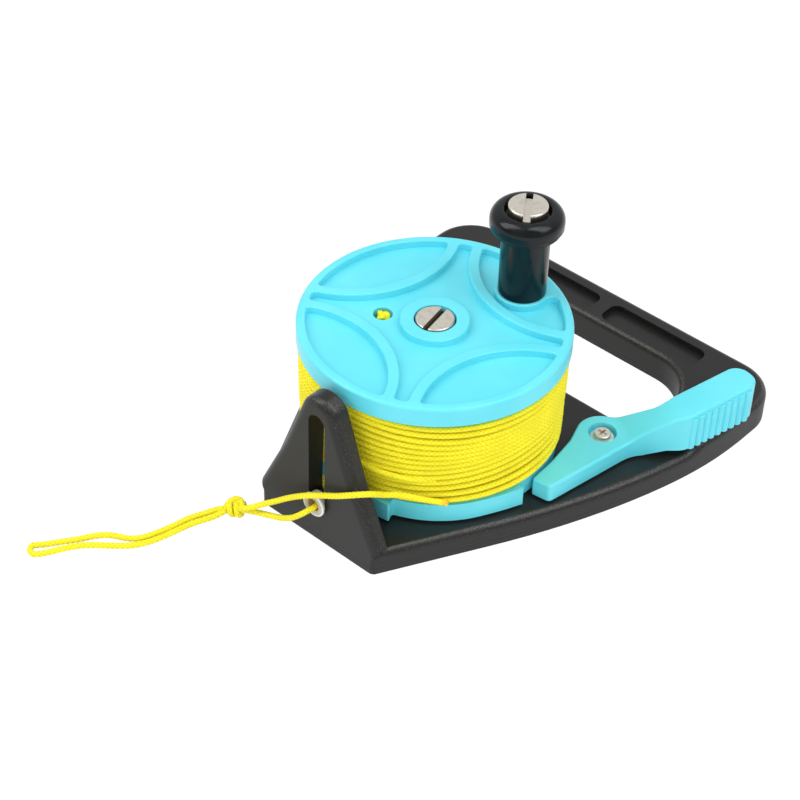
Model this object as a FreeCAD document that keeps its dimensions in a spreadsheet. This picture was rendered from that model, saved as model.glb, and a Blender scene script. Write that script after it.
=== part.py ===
"""Dive reel: a plate with a handle loop and a line guide, a ratchet spool with a
turning knob, and a spring-loaded thumb lever. Millimetres, +Z up, +Y towards the
handle. The origin is on the spool's axis, on the surface that the reel lies on."""

import FreeCAD
import Part
import Sketcher

import math
import os
import re

os.makedirs("parts", exist_ok=True)
doc = FreeCAD.newDocument("DiveReel")
Vector = FreeCAD.Vector
X_AXIS = Vector(1, 0, 0)
Y_AXIS = Vector(0, 1, 0)
Z_AXIS = Vector(0, 0, 1)

# Driving dimensions

SIZES = {
    # plate and handle loop
    "plate_thickness": 9.5,
    "plate_rounding": 3,
    "front_edge": 59,
    "front_half_width": 26.2,
    "front_corner": 2.5,
    "flank_x": 46.4,
    "flank_y": -20.3,
    "middle_half_width": 61,
    "middle_y": 11.5,
    "shoulder_half_width": 73,
    "shoulder_y": 48.5,
    "rear_half_width": 77.8,
    "widest_y": 88,
    "rear_edge": 111.7,
    "rear_corner": 17,
    "handle_thickness": 12,
    "handle_rise_start": 56,
    "handle_rise_length": 9,
    "opening_front": 54.5,
    "opening_rear": 92,
    "opening_half_width": 53,
    "opening_front_corner": 9,
    "opening_rear_corner": 19,
    "opening_rounding": 2.6,
    # recesses on top of the handle bar
    "recess_depth": 2.5,
    "recess_gap": 6,
    "recess_end": 47,
    "recess_front": 94.6,
    "recess_rear": 105.6,
    "recess_corner": 3.5,
    "recess_draft": 18,
    # line guide
    "guide_top": 62.8,
    "guide_tip_radius": 8.3,
    "guide_waist_height": 35,
    "guide_waist_half_width": 16.3,
    "guide_foot_half_width": 27.9,
    "guide_foot": 10.5,
    "guide_thickness": 6.4,
    "guide_head_thickness": 8.2,
    "guide_front_rounding": 3.2,
    "guide_back_rounding": 1.2,
    "guide_slot_width": 7.4,
    "guide_slot_top": 56.5,
    "keyhole_height": 17.2,
    "keyhole_radius": 4,
    "eyelet_flange_radius": 4.8,
    "eyelet_flange_thickness": 0.7,
    "eyelet_stand_out": 1.1,
    "eyelet_sleeve_length": 2,
    "eyelet_bore_radius": 2.4,
    # axle
    "axle_radius": 3,
    "bush_radius": 6,
    "running_gap": 0.06,
    "face_gap": 0.2,
    "thread_gap": 0.02,
    "insert_radius": 5.5,
    "insert_length": 7.5,
    "insert_thread_depth": 6,
    "friction_washer_radius": 13,
    "friction_washer_thickness": 0.8,
    "axle_washer_radius": 7.2,
    "axle_washer_thickness": 0.8,
    "axle_head_radius": 6.85,
    "axle_head_height": 3.6,
    "axle_slot_width": 2,
    "axle_slot_depth": 1.9,
    "axle_slot_turn": 101,
    # spool
    "flange_radius": 48,
    "upper_flange_bottom": 56,
    "upper_flange_thickness": 7.8,
    "flange_rounding": 1.2,
    "lower_flange_thickness": 7.5,
    "hub_radius": 15,
    "head_well_radius": 7.5,
    "head_well_depth": 4.4,
    "rim_width": 3.2,
    "recess_floor_depth": 2.8,
    "boss_radius": 12.3,
    "rib_inner_inset": 20.7,
    "rib_inner_angle": 36.8,
    "rib_outer_inset": 24.6,
    "rib_outer_angle": 41.8,
    "lens_tip_rounding": 1.2,
    "star_tip_share": 0.64,
    "pattern_turn": 71.8,
    "pad_radius": 9.6,
    "pad_corner": 2.6,
    "edge_softening": 0.5,
    "anchor_hole_x": -17.1,
    "anchor_hole_y": -7.9,
    "anchor_hole_radius": 3.5,
    "tooth_depth": 3.8,
    "tooth_knee_depth": 2.5,
    "tooth_turn": -65.8,
    "tooth_root_fillet": 1.2,
    "tooth_tip_fillet": 0.5,
    "flange_screw_ring": 10.4,
    "flange_screw_radius": 1.5,
    "flange_screw_head_radius": 3,
    "flange_screw_length": 17,
    # knob
    "knob_inset": 12.7,
    "knob_shank_radius": 8.6,
    "knob_lip_height": 26.3,
    "knob_lip_radius": 12.2,
    "knob_lip_thickness": 1.1,
    "knob_cap_radius": 13.1,
    "knob_cap_height": 7.1,
    "knob_shoulder_rounding": 4.4,
    "knob_well_radius": 8.1,
    "knob_well_rounding": 0.8,
    "knob_well_depth": 3.8,
    "knob_sleeve_radius": 5,
    "knob_washer_thickness": 1,
    "knob_head_radius": 6.95,
    "knob_head_height": 4.3,
    "knob_slot_width": 2.5,
    "knob_slot_depth": 2.6,
    "knob_slot_turn": -55,
    "knob_nut_flats": 10,
    "knob_nut_height": 4,
    # thumb lever
    "pivot_beyond_flange": 1.2,
    "pivot_y": 37.1,
    "lever_turn": 78.4,
    "lever_gap": 1,
    "lever_thickness": 7.2,
    "lever_height": 17.6,
    "lever_boss_radius": 9.4,
    "nose_reach": 36,
    "nose_slant": 2.6,
    "nose_inner_side": 4.2,
    "nose_outer_side": 11.4,
    "nose_inner_corner": 1.2,
    "nose_outer_corner": 1.8,
    "arm_inner_reach": 25,
    "arm_inner_side": 1.2,
    "arm_waist_reach": 12,
    "arm_waist_side": 3.7,
    "arm_bend_reach": 6.5,
    "arm_outer_side": 9.7,
    "arm_bend_radius": 15,
    "grip_outer_side": 20.3,
    "grip_inner_side": 7.9,
    "grip_end": 57,
    "grip_end_radius": 5.4,
    "grip_outer_start": 21.5,
    "grip_inner_start": 20.5,
    "grip_start_radius": 8.5,
    "ramp_turn": 19.6,
    "ramp_start": 7.4,
    "ramp_length": 17.2,
    "ramp_foot_radius": 6,
    "ramp_crest_radius": 12,
    "grip_underside": 2.3,
    "rib_radius": 1.5,
    "rib_stand_out": 0.9,
    "rib_pitch": 3.25,
    "rib_first": 24.8,
    "rib_height": 13.6,
    "lever_rounding": 1,
    "pivot_radius": 3.2,
    "pivot_root": 1,
    "pivot_well_radius": 5.2,
    "pivot_well_depth": 3,
    "pivot_head_radius": 3.2,
    "pivot_head_height": 2,
    "pivot_screw_radius": 1.5,
    "pivot_screw_length": 9,
    "pivot_washer_radius": 4.2,
    "pivot_washer_thickness": 0.8,
    "spring_pocket_radius": 8,
    "spring_pocket_depth": 2.9,
    "spring_radius": 5.4,
    "spring_wire": 0.7,
    "spring_pitch": 1.2,
    "spring_leg": 3.6,
    # line
    "line_diameter": 2.2,
    "winding_inset_low": 0.9,
    "winding_inset_high": 0.3,
    "winding_gap": 0.42,
    "core_gap": 0.1,
    "winding_side_gap": 0.25,
    "anchor_knot_radius": 2.7,
    "loop_knot_radius": 3.5,
    "loop_knot_end_radius": 2.2,
}

# Counts

TOOTH_COUNT = 6
PATTERN_COUNT = 4
FLANGE_SCREW_COUNT = 3
THUMB_RIB_COUNT = 9
SPRING_HALF_TURNS = 4
WINDING_START = 200

sizes = doc.addObject("Spreadsheet::Sheet", "Sizes")
for row, (alias, number) in enumerate(SIZES.items(), start=1):
    sizes.set(f"A{row}", alias)
    sizes.set(f"B{row}", str(number))
    sizes.setAlias(f"B{row}", alias)
doc.recompute()

# Heights, radii and places of the fitted pieces, as sums of cells

SPOOL_BOTTOM = "(plate_thickness + lever_gap)"
SPOOL_TOP = "(upper_flange_bottom + upper_flange_thickness)"
LOWER_FLANGE_TOP = f"({SPOOL_BOTTOM} + lower_flange_thickness)"
HEAD_WELL_FLOOR = f"({SPOOL_TOP} - head_well_depth)"
AXLE_HEAD_BOTTOM = f"({HEAD_WELL_FLOOR} + face_gap + axle_washer_thickness)"
PATTERN_FLOOR = f"({SPOOL_TOP} - recess_floor_depth)"
KNOB_BOTTOM = f"({SPOOL_TOP} + face_gap)"
KNOB_TOP = f"({KNOB_BOTTOM} + knob_lip_height + knob_lip_thickness + knob_cap_height)"
KNOB_WELL_FLOOR = f"({KNOB_TOP} - knob_well_depth)"
KNOB_WASHER_BOTTOM = f"({KNOB_WELL_FLOOR} + face_gap)"
KNOB_HEAD_BOTTOM = f"({KNOB_WASHER_BOTTOM} + knob_washer_thickness)"
NUT_BOTTOM = "(upper_flange_bottom + face_gap)"
LEVER_TOP = f"({SPOOL_BOTTOM} + lever_thickness)"
PIVOT_POST_TOP = f"({LEVER_TOP} - pivot_well_depth + face_gap)"
PIVOT_X = "(flange_radius + pivot_beyond_flange)"
PIVOT = {"x": PIVOT_X, "y": "pivot_y"}
KNOB_X = "((flange_radius - knob_inset) * cos(pattern_turn * 1 deg))"
KNOB_Y = "((flange_radius - knob_inset) * sin(pattern_turn * 1 deg))"
KNOB = {"x": KNOB_X, "y": KNOB_Y}
RIM_INNER = "(flange_radius - rim_width)"
STAR_HALF_TIP = f"({RIM_INNER} * sin(({180 / PATTERN_COUNT} - rib_outer_angle) * 1 deg))"
TOOTH_ROOT = "(flange_radius - tooth_depth)"
WINDING_LOW = "(flange_radius - winding_inset_low)"
WINDING_HIGH = "(flange_radius - winding_inset_high)"


def bound(text):
    """The expression with each cell's alias pointing at the sheet."""
    return re.sub(r"[a-z_]+", lambda word: "Sizes." + word[0] if word[0] in SIZES else word[0], text)


def value(text):
    """The number that a sum of cells gives now."""
    return float(sizes.evalExpression(text))


def bind(thing, prop, text):
    thing.setExpression(prop, bound(text))


def place(thing, x="0", y="0", z="0", turn=None):
    """Binds where a sub-part stands, with turn as (axis, degrees)."""
    if turn:
        thing.Placement = FreeCAD.Placement(Vector(0, 0, 0), FreeCAD.Rotation(turn[0], turn[1]))
    for axis, text in (("x", x), ("y", y), ("z", z)):
        bind(thing, f".Placement.Base.{axis}", text)


# Sketches and features of a body

def new_body(name):
    body = doc.addObject("PartDesign::Body", name)
    body.Label = name
    return body


def new_sketch(body, name, role="XY_Plane", offset="0"):
    """A sketch on one of the body's own planes, moved along the plane's normal."""
    sketch = body.newObject("Sketcher::SketchObject", name)
    plane = next(item for item in body.Origin.OriginFeatures if item.Role == role)
    sketch.AttachmentSupport = (plane, [""])
    sketch.MapMode = "FlatFace"
    bind(sketch, ".AttachmentOffset.Base.z", offset)
    return sketch


def hold(sketch, kind, geometry, point, text):
    """Holds a point's distance from the sketch's origin to a sum of cells."""
    index = sketch.addConstraint(Sketcher.Constraint(kind, -1, 1, geometry, point, value(text)))
    sketch.setExpression(f"Constraints[{index}]", bound(text))


def add_polygon(sketch, corners):
    """A closed outline whose corners are pairs of sums of cells."""
    points = [Vector(value(a), value(b), 0) for a, b in corners]
    count = len(points)
    first = sketch.GeometryCount
    for n in range(count):
        sketch.addGeometry(Part.LineSegment(points[n], points[(n + 1) % count]), False)
    for n in range(count):
        following = first + (n + 1) % count
        sketch.addConstraint(Sketcher.Constraint("Coincident", first + n, 2, following, 1))
    for n, (a, b) in enumerate(corners):
        hold(sketch, "DistanceX", first + n, 1, a)
        hold(sketch, "DistanceY", first + n, 1, b)


def add_circle(sketch, radius, x="0", y="0"):
    centre = Vector(value(x), value(y), 0)
    index = sketch.addGeometry(Part.Circle(centre, Z_AXIS, value(radius)), False)
    size = sketch.addConstraint(Sketcher.Constraint("Radius", index, value(radius)))
    sketch.setExpression(f"Constraints[{size}]", bound(radius))
    hold(sketch, "DistanceX", index, 3, x)
    hold(sketch, "DistanceY", index, 3, y)


def add_edges(sketch, curves):
    """Adds curves that follow one another round a closed outline."""
    for curve in curves:
        sketch.addGeometry(curve, False)


def pad(body, sketch, length, name, draft="0"):
    feature = body.newObject("PartDesign::Pad", name)
    feature.Profile = sketch
    bind(feature, "Length", length)
    bind(feature, "TaperAngle", draft)
    return feature


def pocket(body, sketch, length, name, both_ways=False, upward=False, draft="0"):
    """Cuts a sketch out of the body, against its normal unless upward."""
    doc.recompute()
    before = body.Shape.Volume
    feature = body.newObject("PartDesign::Pocket", name)
    feature.Profile = sketch
    feature.Midplane = both_ways
    feature.Reversed = upward
    bind(feature, "Length", length)
    bind(feature, "TaperAngle", draft)
    doc.recompute()
    if body.Shape.Volume >= before:
        raise ValueError(f"{name} cuts nothing")
    return feature


def revolve(body, sketch, name):
    feature = body.newObject("PartDesign::Revolution", name)
    feature.Profile = sketch
    feature.ReferenceAxis = (sketch, ["V_Axis"])
    feature.Angle = 360
    return feature


def polar_pattern(body, feature, sketch, count, name):
    pattern = body.newObject("PartDesign::PolarPattern", name)
    pattern.Originals = [feature]
    pattern.Axis = (sketch, ["N_Axis"])
    pattern.Angle = 360
    pattern.Occurrences = count
    body.Tip = pattern
    return pattern


def round_edges(body, radius, name, wanted):
    """Rounds the edges that the test picks, in the body's own frame."""
    doc.recompute()
    base = body.Tip
    names = [f"Edge{n}" for n, edge in enumerate(base.Shape.Edges, start=1) if wanted(edge)]
    feature = body.newObject("PartDesign::Fillet", name)
    feature.Base = (base, names)
    bind(feature, "Radius", radius)
    body.Tip = feature
    doc.recompute()
    if not names or "Invalid" in feature.State:
        raise ValueError(f"{name} rounds nothing")
    return feature


def turned(name, corners, x="0", y="0", z="0", turn=None):
    """A piece turned about Z from the corners (radius, height) of its section."""
    body = new_body(name)
    section = new_sketch(body, name + "_section", "XZ_Plane")
    add_polygon(section, corners)
    revolve(body, section, name + "_turned")
    place(body, x, y, z, turn)
    return body


def ring(name, inner, outer, height, **where):
    corners = [(inner, "0"), (outer, "0"), (outer, height), (inner, height)]
    return turned(name, corners, **where)


# Tests that pick edges

NEAR = 0.1
TOUCHING = 1e-3


def upright(edge):
    ends = [vertex.Point for vertex in edge.Vertexes]
    return (len(ends) == 2 and isinstance(edge.Curve, Part.Line)
            and math.hypot(ends[0].x - ends[1].x, ends[0].y - ends[1].y) < TOUCHING)


def flat_at(edge, height):
    return edge.BoundBox.ZLength < TOUCHING and abs(edge.BoundBox.ZMin - height) < TOUCHING


def middle(edge):
    return edge.valueAt(0.5 * (edge.FirstParameter + edge.LastParameter))


def reach(edge):
    """How far the middle of an edge is from the Z axis."""
    return math.hypot(middle(edge).x, middle(edge).y)


# Flat curves

def flat(point, z=0):
    return Vector(point[0], point[1], z)


def rounded_outline(corners):
    """Lines and tangent arcs round an outline of (x, y, radius) corners."""
    marks = []
    count = len(corners)
    for n, (x, y, radius) in enumerate(corners):
        here = Vector(x, y, 0)
        if radius == 0:
            marks.append((here, None, here))
            continue
        back = (flat(corners[n - 1]) - here).normalize()
        ahead = (flat(corners[(n + 1) % count]) - here).normalize()
        half = back.getAngle(ahead) / 2
        cut = radius / math.tan(half)
        centre = here + (back + ahead).normalize() * (radius / math.sin(half))
        bulge = centre + (here - centre).normalize() * radius
        marks.append((here + back * cut, bulge, here + ahead * cut))
    curves = []
    for n, (start, bulge, end) in enumerate(marks):
        if bulge:
            curves.append(Part.Arc(start, bulge, end))
        curves.append(Part.LineSegment(end, marks[(n + 1) % count][0]))
    return curves


def add_rounded(sketch, corners):
    """A closed outline whose corners are (x, y, radius) sums of cells."""
    add_edges(sketch, rounded_outline([[value(text) for text in corner] for corner in corners]))


# Frame: plate, handle loop and pivot post

def plate_flank(side):
    """One flank of the plan from the front corner to the rear edge, side 1 or -1."""
    corner = Vector(side * value("front_half_width"), -value("front_edge"), 0)
    flank = Vector(side * value("flank_x"), value("flank_y"), 0)
    waist = Vector(side * value("middle_half_width"), value("middle_y"), 0)
    shoulder = Vector(side * value("shoulder_half_width"), value("shoulder_y"), 0)
    widest = Vector(side * value("rear_half_width"), value("widest_y"), 0)
    radius = value("rear_corner")
    bend_start = Vector(widest.x, value("rear_edge") - radius, 0)
    bend_end = Vector(widest.x - side * radius, value("rear_edge"), 0)
    centre = Vector(bend_end.x, bend_start.y, 0)
    bulge = centre + Vector(side, 1, 0).normalize() * radius
    swell = Part.BSplineCurve()
    swell.interpolate(Points=[flank, waist, shoulder, widest],
                      InitialTangent=flank - corner, FinalTangent=Vector(0, 1, 0))
    return [
        Part.LineSegment(corner, flank),
        swell,
        Part.LineSegment(widest, bend_start),
        Part.Arc(bend_start, bulge, bend_end),
    ]


def plate_outline():
    right = plate_flank(1)
    left = plate_flank(-1)
    front = Part.LineSegment(left[0].StartPoint, right[0].StartPoint)
    rear = Part.LineSegment(right[2].EndPoint + Vector(-value("rear_corner"), value("rear_corner"), 0),
                            left[2].EndPoint + Vector(value("rear_corner"), value("rear_corner"), 0))
    return [front] + right + [rear] + left


def rise_curves():
    """Side view of what is cut away in front of the handle, with a smooth step."""
    start = value("handle_rise_start")
    length = value("handle_rise_length")
    low = value("plate_thickness")
    high = value("handle_thickness")
    radius = (length**2 + (high - low)**2) / (4 * (high - low))
    turn = math.asin(length / (2 * radius))
    halfway = Vector(start + length / 2, (low + high) / 2, 0)
    first_bulge = Vector(start + radius * math.sin(turn / 2), low + radius * (1 - math.cos(turn / 2)), 0)
    second_bulge = halfway * 2 - first_bulge
    end = Vector(start + length, high, 0)
    front = -value("front_edge") - high
    above = 2 * high
    return [
        Part.LineSegment(Vector(front, low, 0), Vector(start, low, 0)),
        Part.Arc(Vector(start, low, 0), first_bulge, halfway),
        Part.Arc(halfway, second_bulge, end),
        Part.LineSegment(end, Vector(end.x, above, 0)),
        Part.LineSegment(Vector(end.x, above, 0), Vector(front, above, 0)),
        Part.LineSegment(Vector(front, above, 0), Vector(front, low, 0)),
    ]


plate = new_body("plate")
outline = new_sketch(plate, "plate_outline")
add_edges(outline, plate_outline())
pad(plate, outline, "handle_thickness", "plate_pad")
rise = new_sketch(plate, "handle_rise", "YZ_Plane")
add_edges(rise, rise_curves())
pocket(plate, rise, "4 * rear_half_width", "plate_top", both_ways=True)
opening = new_sketch(plate, "hand_opening")
add_rounded(opening, [
    ("-opening_half_width", "opening_front", "opening_front_corner"),
    ("opening_half_width", "opening_front", "opening_front_corner"),
    ("opening_half_width", "opening_rear", "opening_rear_corner"),
    ("-opening_half_width", "opening_rear", "opening_rear_corner"),
])
pocket(plate, opening, "4 * handle_thickness", "opening_cut", both_ways=True)
round_edges(plate, "front_corner", "front_corners",
            lambda edge: upright(edge) and middle(edge).y < -value("front_edge") + NEAR)


def on_step(edge):
    """True for the lines across the smooth step up to the handle."""
    start = value("handle_rise_start")
    return (edge.BoundBox.YLength < TOUCHING
            and start - NEAR < middle(edge).y < start + value("handle_rise_length") + NEAR)


def in_opening(edge):
    point = middle(edge)
    return (abs(point.x) < value("opening_half_width") + NEAR
            and value("opening_front") - NEAR < point.y < value("opening_rear") + NEAR)


def top_rim(edge):
    return edge.BoundBox.ZMin > value("plate_thickness") - TOUCHING and not on_step(edge)


round_edges(plate, "plate_rounding", "outer_rounding",
            lambda edge: top_rim(edge) and not in_opening(edge))
round_edges(plate, "opening_rounding", "opening_rounding",
            lambda edge: top_rim(edge) and in_opening(edge))

for side in (-1, 1):
    recess = new_sketch(plate, "grip_recess", "XY_Plane", "handle_thickness")
    near = f"{side} * recess_gap / 2"
    far = f"{side} * recess_end"
    add_rounded(recess, [
        (near, "recess_front", "recess_corner"),
        (far, "recess_front", "recess_corner"),
        (far, "recess_rear", "recess_corner"),
        (near, "recess_rear", "recess_corner"),
    ])
    pocket(plate, recess, "recess_depth", "grip_recess_cut", draft="recess_draft")

post = new_sketch(plate, "pivot_post", "XY_Plane", "plate_thickness - pivot_root")
add_circle(post, "pivot_radius", **PIVOT)
pad(plate, post, f"{PIVOT_POST_TOP} - plate_thickness + pivot_root", "pivot_post_pad")
post_hole = new_sketch(plate, "pivot_hole", "XY_Plane", PIVOT_POST_TOP)
add_circle(post_hole, "pivot_screw_radius + thread_gap", **PIVOT)
pocket(plate, post_hole, "pivot_screw_length", "pivot_hole_cut")
insert_hole = new_sketch(plate, "insert_hole", "XY_Plane", "plate_thickness")
add_circle(insert_hole, "insert_radius")
pocket(plate, insert_hole, "insert_length", "insert_hole_cut")

# Frame: line guide


def guide_outline():
    """Front view of the guide: a flared foot and two sloping sides up to a round top."""
    radius = value("guide_tip_radius")
    centre = Vector(0, value("guide_top") - radius, 0)
    foot = Vector(value("guide_foot_half_width"), value("guide_foot"), 0)
    waist = Vector(value("guide_waist_half_width"), value("guide_waist_height"), 0)
    span = (waist - centre).Length
    slope = math.atan2(waist.y - centre.y, waist.x)
    touch_angle = slope + math.acos(radius / span)
    touch = centre + Vector(math.cos(touch_angle), math.sin(touch_angle), 0) * radius
    root = Vector(value("front_half_width") - value("front_corner") / 2, 0, 0)
    neck = Vector(root.x, value("guide_foot") / 2, 0)
    right = [root, neck, foot, waist, touch]
    left = [Vector(-point.x, point.y, 0) for point in reversed(right)]
    top = Vector(0, value("guide_top"), 0)
    sides = [Part.LineSegment(a, b) for a, b in zip(right, right[1:])]
    sides.append(Part.Arc(touch, top, left[0]))
    sides += [Part.LineSegment(a, b) for a, b in zip(left, left[1:])]
    sides.append(Part.LineSegment(left[-1], root))
    return sides


def slot_outline():
    half = value("guide_slot_width") / 2
    low = value("keyhole_height")
    high = value("guide_slot_top") - half
    return [
        Part.LineSegment(Vector(-half, low, 0), Vector(half, low, 0)),
        Part.LineSegment(Vector(half, low, 0), Vector(half, high, 0)),
        Part.Arc(Vector(half, high, 0), Vector(0, high + half, 0), Vector(-half, high, 0)),
        Part.LineSegment(Vector(-half, high, 0), Vector(-half, low, 0)),
    ]


guide = new_body("guide")
face = new_sketch(guide, "guide_outline", "XZ_Plane", "front_edge")
add_edges(face, guide_outline())
upright_plate = pad(guide, face, "guide_head_thickness", "guide_pad")
upright_plate.Reversed = True
back = new_sketch(guide, "guide_back", "YZ_Plane")
add_polygon(back, [
    ("guide_thickness - front_edge", "guide_foot"),
    ("guide_head_thickness - front_edge", "guide_top"),
    ("2 * guide_head_thickness - front_edge", "guide_top"),
    ("2 * guide_head_thickness - front_edge", "-guide_foot"),
    ("guide_thickness - front_edge", "-guide_foot"),
])
pocket(guide, back, "4 * guide_foot_half_width", "guide_back_cut", both_ways=True)


def guide_rim(edge):
    return edge.BoundBox.ZMax > value("guide_foot") + NEAR and edge.BoundBox.YLength < TOUCHING


def guide_back_rim(edge):
    return (edge.BoundBox.ZMax > value("guide_foot") + NEAR
            and middle(edge).y > value("guide_thickness") / 2 - value("front_edge")
            and edge.BoundBox.ZLength > TOUCHING)


round_edges(guide, "guide_front_rounding", "guide_front_rounding",
            lambda edge: guide_rim(edge) and middle(edge).y < -value("front_edge") + TOUCHING)
round_edges(guide, "guide_back_rounding", "guide_back_rounding", guide_back_rim)
slot = new_sketch(guide, "guide_slot", "XZ_Plane", "front_edge")
add_edges(slot, slot_outline())
pocket(guide, slot, "4 * guide_head_thickness", "guide_slot_cut", both_ways=True)
keyhole = new_sketch(guide, "guide_keyhole", "XZ_Plane", "front_edge")
add_circle(keyhole, "keyhole_radius", "0", "keyhole_height")
pocket(guide, keyhole, "4 * guide_head_thickness", "guide_keyhole_cut", both_ways=True)

frame = doc.addObject("Part::Fuse", "frame")
frame.Base = plate
frame.Tool = guide
frame.Refine = True
frame.Label = "frame"

# Line eyelet

EYELET_FRONT = "(eyelet_stand_out + eyelet_flange_thickness)"
eyelet = turned("line_eyelet", [
    ("eyelet_bore_radius", "-eyelet_sleeve_length"),
    ("keyhole_radius - running_gap", "-eyelet_sleeve_length"),
    ("keyhole_radius - running_gap", "eyelet_stand_out"),
    ("eyelet_flange_radius", "eyelet_stand_out"),
    ("eyelet_flange_radius", EYELET_FRONT),
    ("eyelet_bore_radius", EYELET_FRONT),
], y="-front_edge", z="keyhole_height", turn=(X_AXIS, 90))
round_edges(eyelet, "0.4 * eyelet_flange_thickness", "eyelet_rounding",
            lambda edge: flat_at(edge, value(EYELET_FRONT)) and reach(edge) > 0)


# Axle

def slotted_screw(name, head_radius, head_height, shank_length, slot_width, slot_depth,
                  slot_turn, **where):
    """A screw standing on its head's underside, with a slot across the head."""
    screw = turned(name, [
        ("0", f"-({shank_length})"),
        ("axle_radius", f"-({shank_length})"),
        ("axle_radius", "0"),
        (head_radius, "0"),
        (head_radius, head_height),
        ("0", head_height),
    ], **where)
    round_edges(screw, f"0.15 * {head_height}", name + "_rim",
                lambda edge: flat_at(edge, value(head_height)) and reach(edge) > 0.5 * value(head_radius))
    cut = new_sketch(screw, name + "_slot", "XY_Plane", head_height)
    cut.AttachmentOffset = FreeCAD.Placement(cut.AttachmentOffset.Base,
                                             FreeCAD.Rotation(Z_AXIS, value(slot_turn)))
    add_polygon(cut, [
        (f"-2 * {head_radius}", f"-0.5 * {slot_width}"),
        (f"2 * {head_radius}", f"-0.5 * {slot_width}"),
        (f"2 * {head_radius}", f"0.5 * {slot_width}"),
        (f"-2 * {head_radius}", f"0.5 * {slot_width}"),
    ])
    pocket(screw, cut, slot_depth, name + "_slot_cut")
    return screw


INSERT_BOTTOM = "(plate_thickness - insert_length)"
turned("axle_insert", [
    ("0", "0"),
    ("insert_radius", "0"),
    ("insert_radius", "insert_length"),
    ("axle_radius + thread_gap", "insert_length"),
    ("axle_radius + thread_gap", "insert_length - insert_thread_depth"),
    ("0", "insert_length - insert_thread_depth"),
], z=INSERT_BOTTOM)
ring("axle_bush", "axle_radius + running_gap", "bush_radius",
     f"{HEAD_WELL_FLOOR} + face_gap - plate_thickness", z="plate_thickness")
ring("axle_washer", "axle_radius + running_gap", "axle_washer_radius", "axle_washer_thickness",
     z=f"{HEAD_WELL_FLOOR} + face_gap")
ring("friction_washer", "bush_radius + running_gap", "friction_washer_radius",
     "friction_washer_thickness", z="plate_thickness")
slotted_screw("axle_screw", "axle_head_radius", "axle_head_height",
              f"{AXLE_HEAD_BOTTOM} - {INSERT_BOTTOM} - insert_length + insert_thread_depth - face_gap",
              "axle_slot_width", "axle_slot_depth", "axle_slot_turn", z=AXLE_HEAD_BOTTOM)


# Spool

def polar(radius, degrees, centre=None):
    angle = math.radians(degrees)
    return (centre or Vector(0, 0, 0)) + Vector(math.cos(angle), math.sin(angle), 0) * radius


def meeting_angle(near_radius, distance, far_radius):
    """Angle at the origin between a circle's centre and its crossing with a circle about the origin."""
    cosine = (near_radius**2 + distance**2 - far_radius**2) / (2 * near_radius * distance)
    return math.degrees(math.acos(cosine))


def pattern_rib():
    """Curved rib with its ends buried in the rim. Each side is an arc through its crest,
    the point furthest in from the rim, and through a point of the rim on either hand."""
    rim = value(RIM_INNER)
    turn = value("pattern_turn")
    end_radius = (rim + value("flange_radius")) / 2
    corners = []
    crests = []
    for side in ("inner", "outer"):
        crest = rim - value(f"rib_{side}_inset")
        rim_reach = rim * math.cos(math.radians(value(f"rib_{side}_angle")))
        distance = (rim**2 - crest**2) / (2 * (rim_reach - crest))
        spread = meeting_angle(end_radius, distance, distance - crest)
        corners.append((polar(end_radius, turn - spread), polar(end_radius, turn + spread)))
        crests.append(polar(crest, turn))
    (inner_start, inner_end), (outer_start, outer_end) = corners
    return [
        Part.Arc(inner_start, crests[0], inner_end),
        Part.LineSegment(inner_end, outer_end),
        Part.Arc(outer_end, crests[1], outer_start),
        Part.LineSegment(outer_start, inner_start),
    ]


def knob_pad_outline():
    """Round pad under the knob, blended into the rim by two concave corners."""
    knob = Vector(value(KNOB_X), value(KNOB_Y), 0)
    turn = value("pattern_turn")
    pad_radius = value("pad_radius")
    corner = value("pad_corner")
    rim = value(RIM_INNER)
    outer = (rim + value("flange_radius")) / 2
    spread = meeting_angle(rim - corner, knob.Length, pad_radius + corner)
    marks = []
    for side in (-1, 1):
        centre = polar(rim - corner, turn + side * spread)
        on_pad = knob + (centre - knob).normalize() * pad_radius
        on_rim = polar(rim, turn + side * spread)
        inward = (on_pad - centre).normalize() + (on_rim - centre).normalize()
        between = centre + inward.normalize() * corner
        marks.append((on_pad, between, on_rim, polar(outer, turn + side * spread)))
    (pad_a, bend_a, rim_a, out_a), (pad_b, bend_b, rim_b, out_b) = marks
    near = knob - polar(pad_radius, turn)
    return [
        Part.Arc(pad_a, bend_a, rim_a),
        Part.LineSegment(rim_a, out_a),
        Part.LineSegment(out_a, out_b),
        Part.LineSegment(out_b, rim_b),
        Part.Arc(rim_b, bend_b, pad_b),
        Part.Arc(pad_b, near, pad_a),
    ]


HUB_BORE = "(bush_radius + running_gap)"
upper = turned("spool_upper_flange", [
    (HUB_BORE, LOWER_FLANGE_TOP),
    ("hub_radius", LOWER_FLANGE_TOP),
    ("hub_radius", "upper_flange_bottom"),
    ("flange_radius", "upper_flange_bottom"),
    ("flange_radius", SPOOL_TOP),
    ("head_well_radius", SPOOL_TOP),
    ("head_well_radius", HEAD_WELL_FLOOR),
    (HUB_BORE, HEAD_WELL_FLOOR),
])
dish = new_sketch(upper, "dish", "XY_Plane", SPOOL_TOP)
add_circle(dish, RIM_INNER)
add_circle(dish, "boss_radius")
pocket(upper, dish, "recess_floor_depth", "dish_cut")
rib = new_sketch(upper, "pattern_rib", "XY_Plane", PATTERN_FLOOR)
add_edges(rib, pattern_rib())
rib_pad = pad(upper, rib, "recess_floor_depth", "pattern_rib_pad")
polar_pattern(upper, rib_pad, rib, PATTERN_COUNT, "pattern_ribs")


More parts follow.
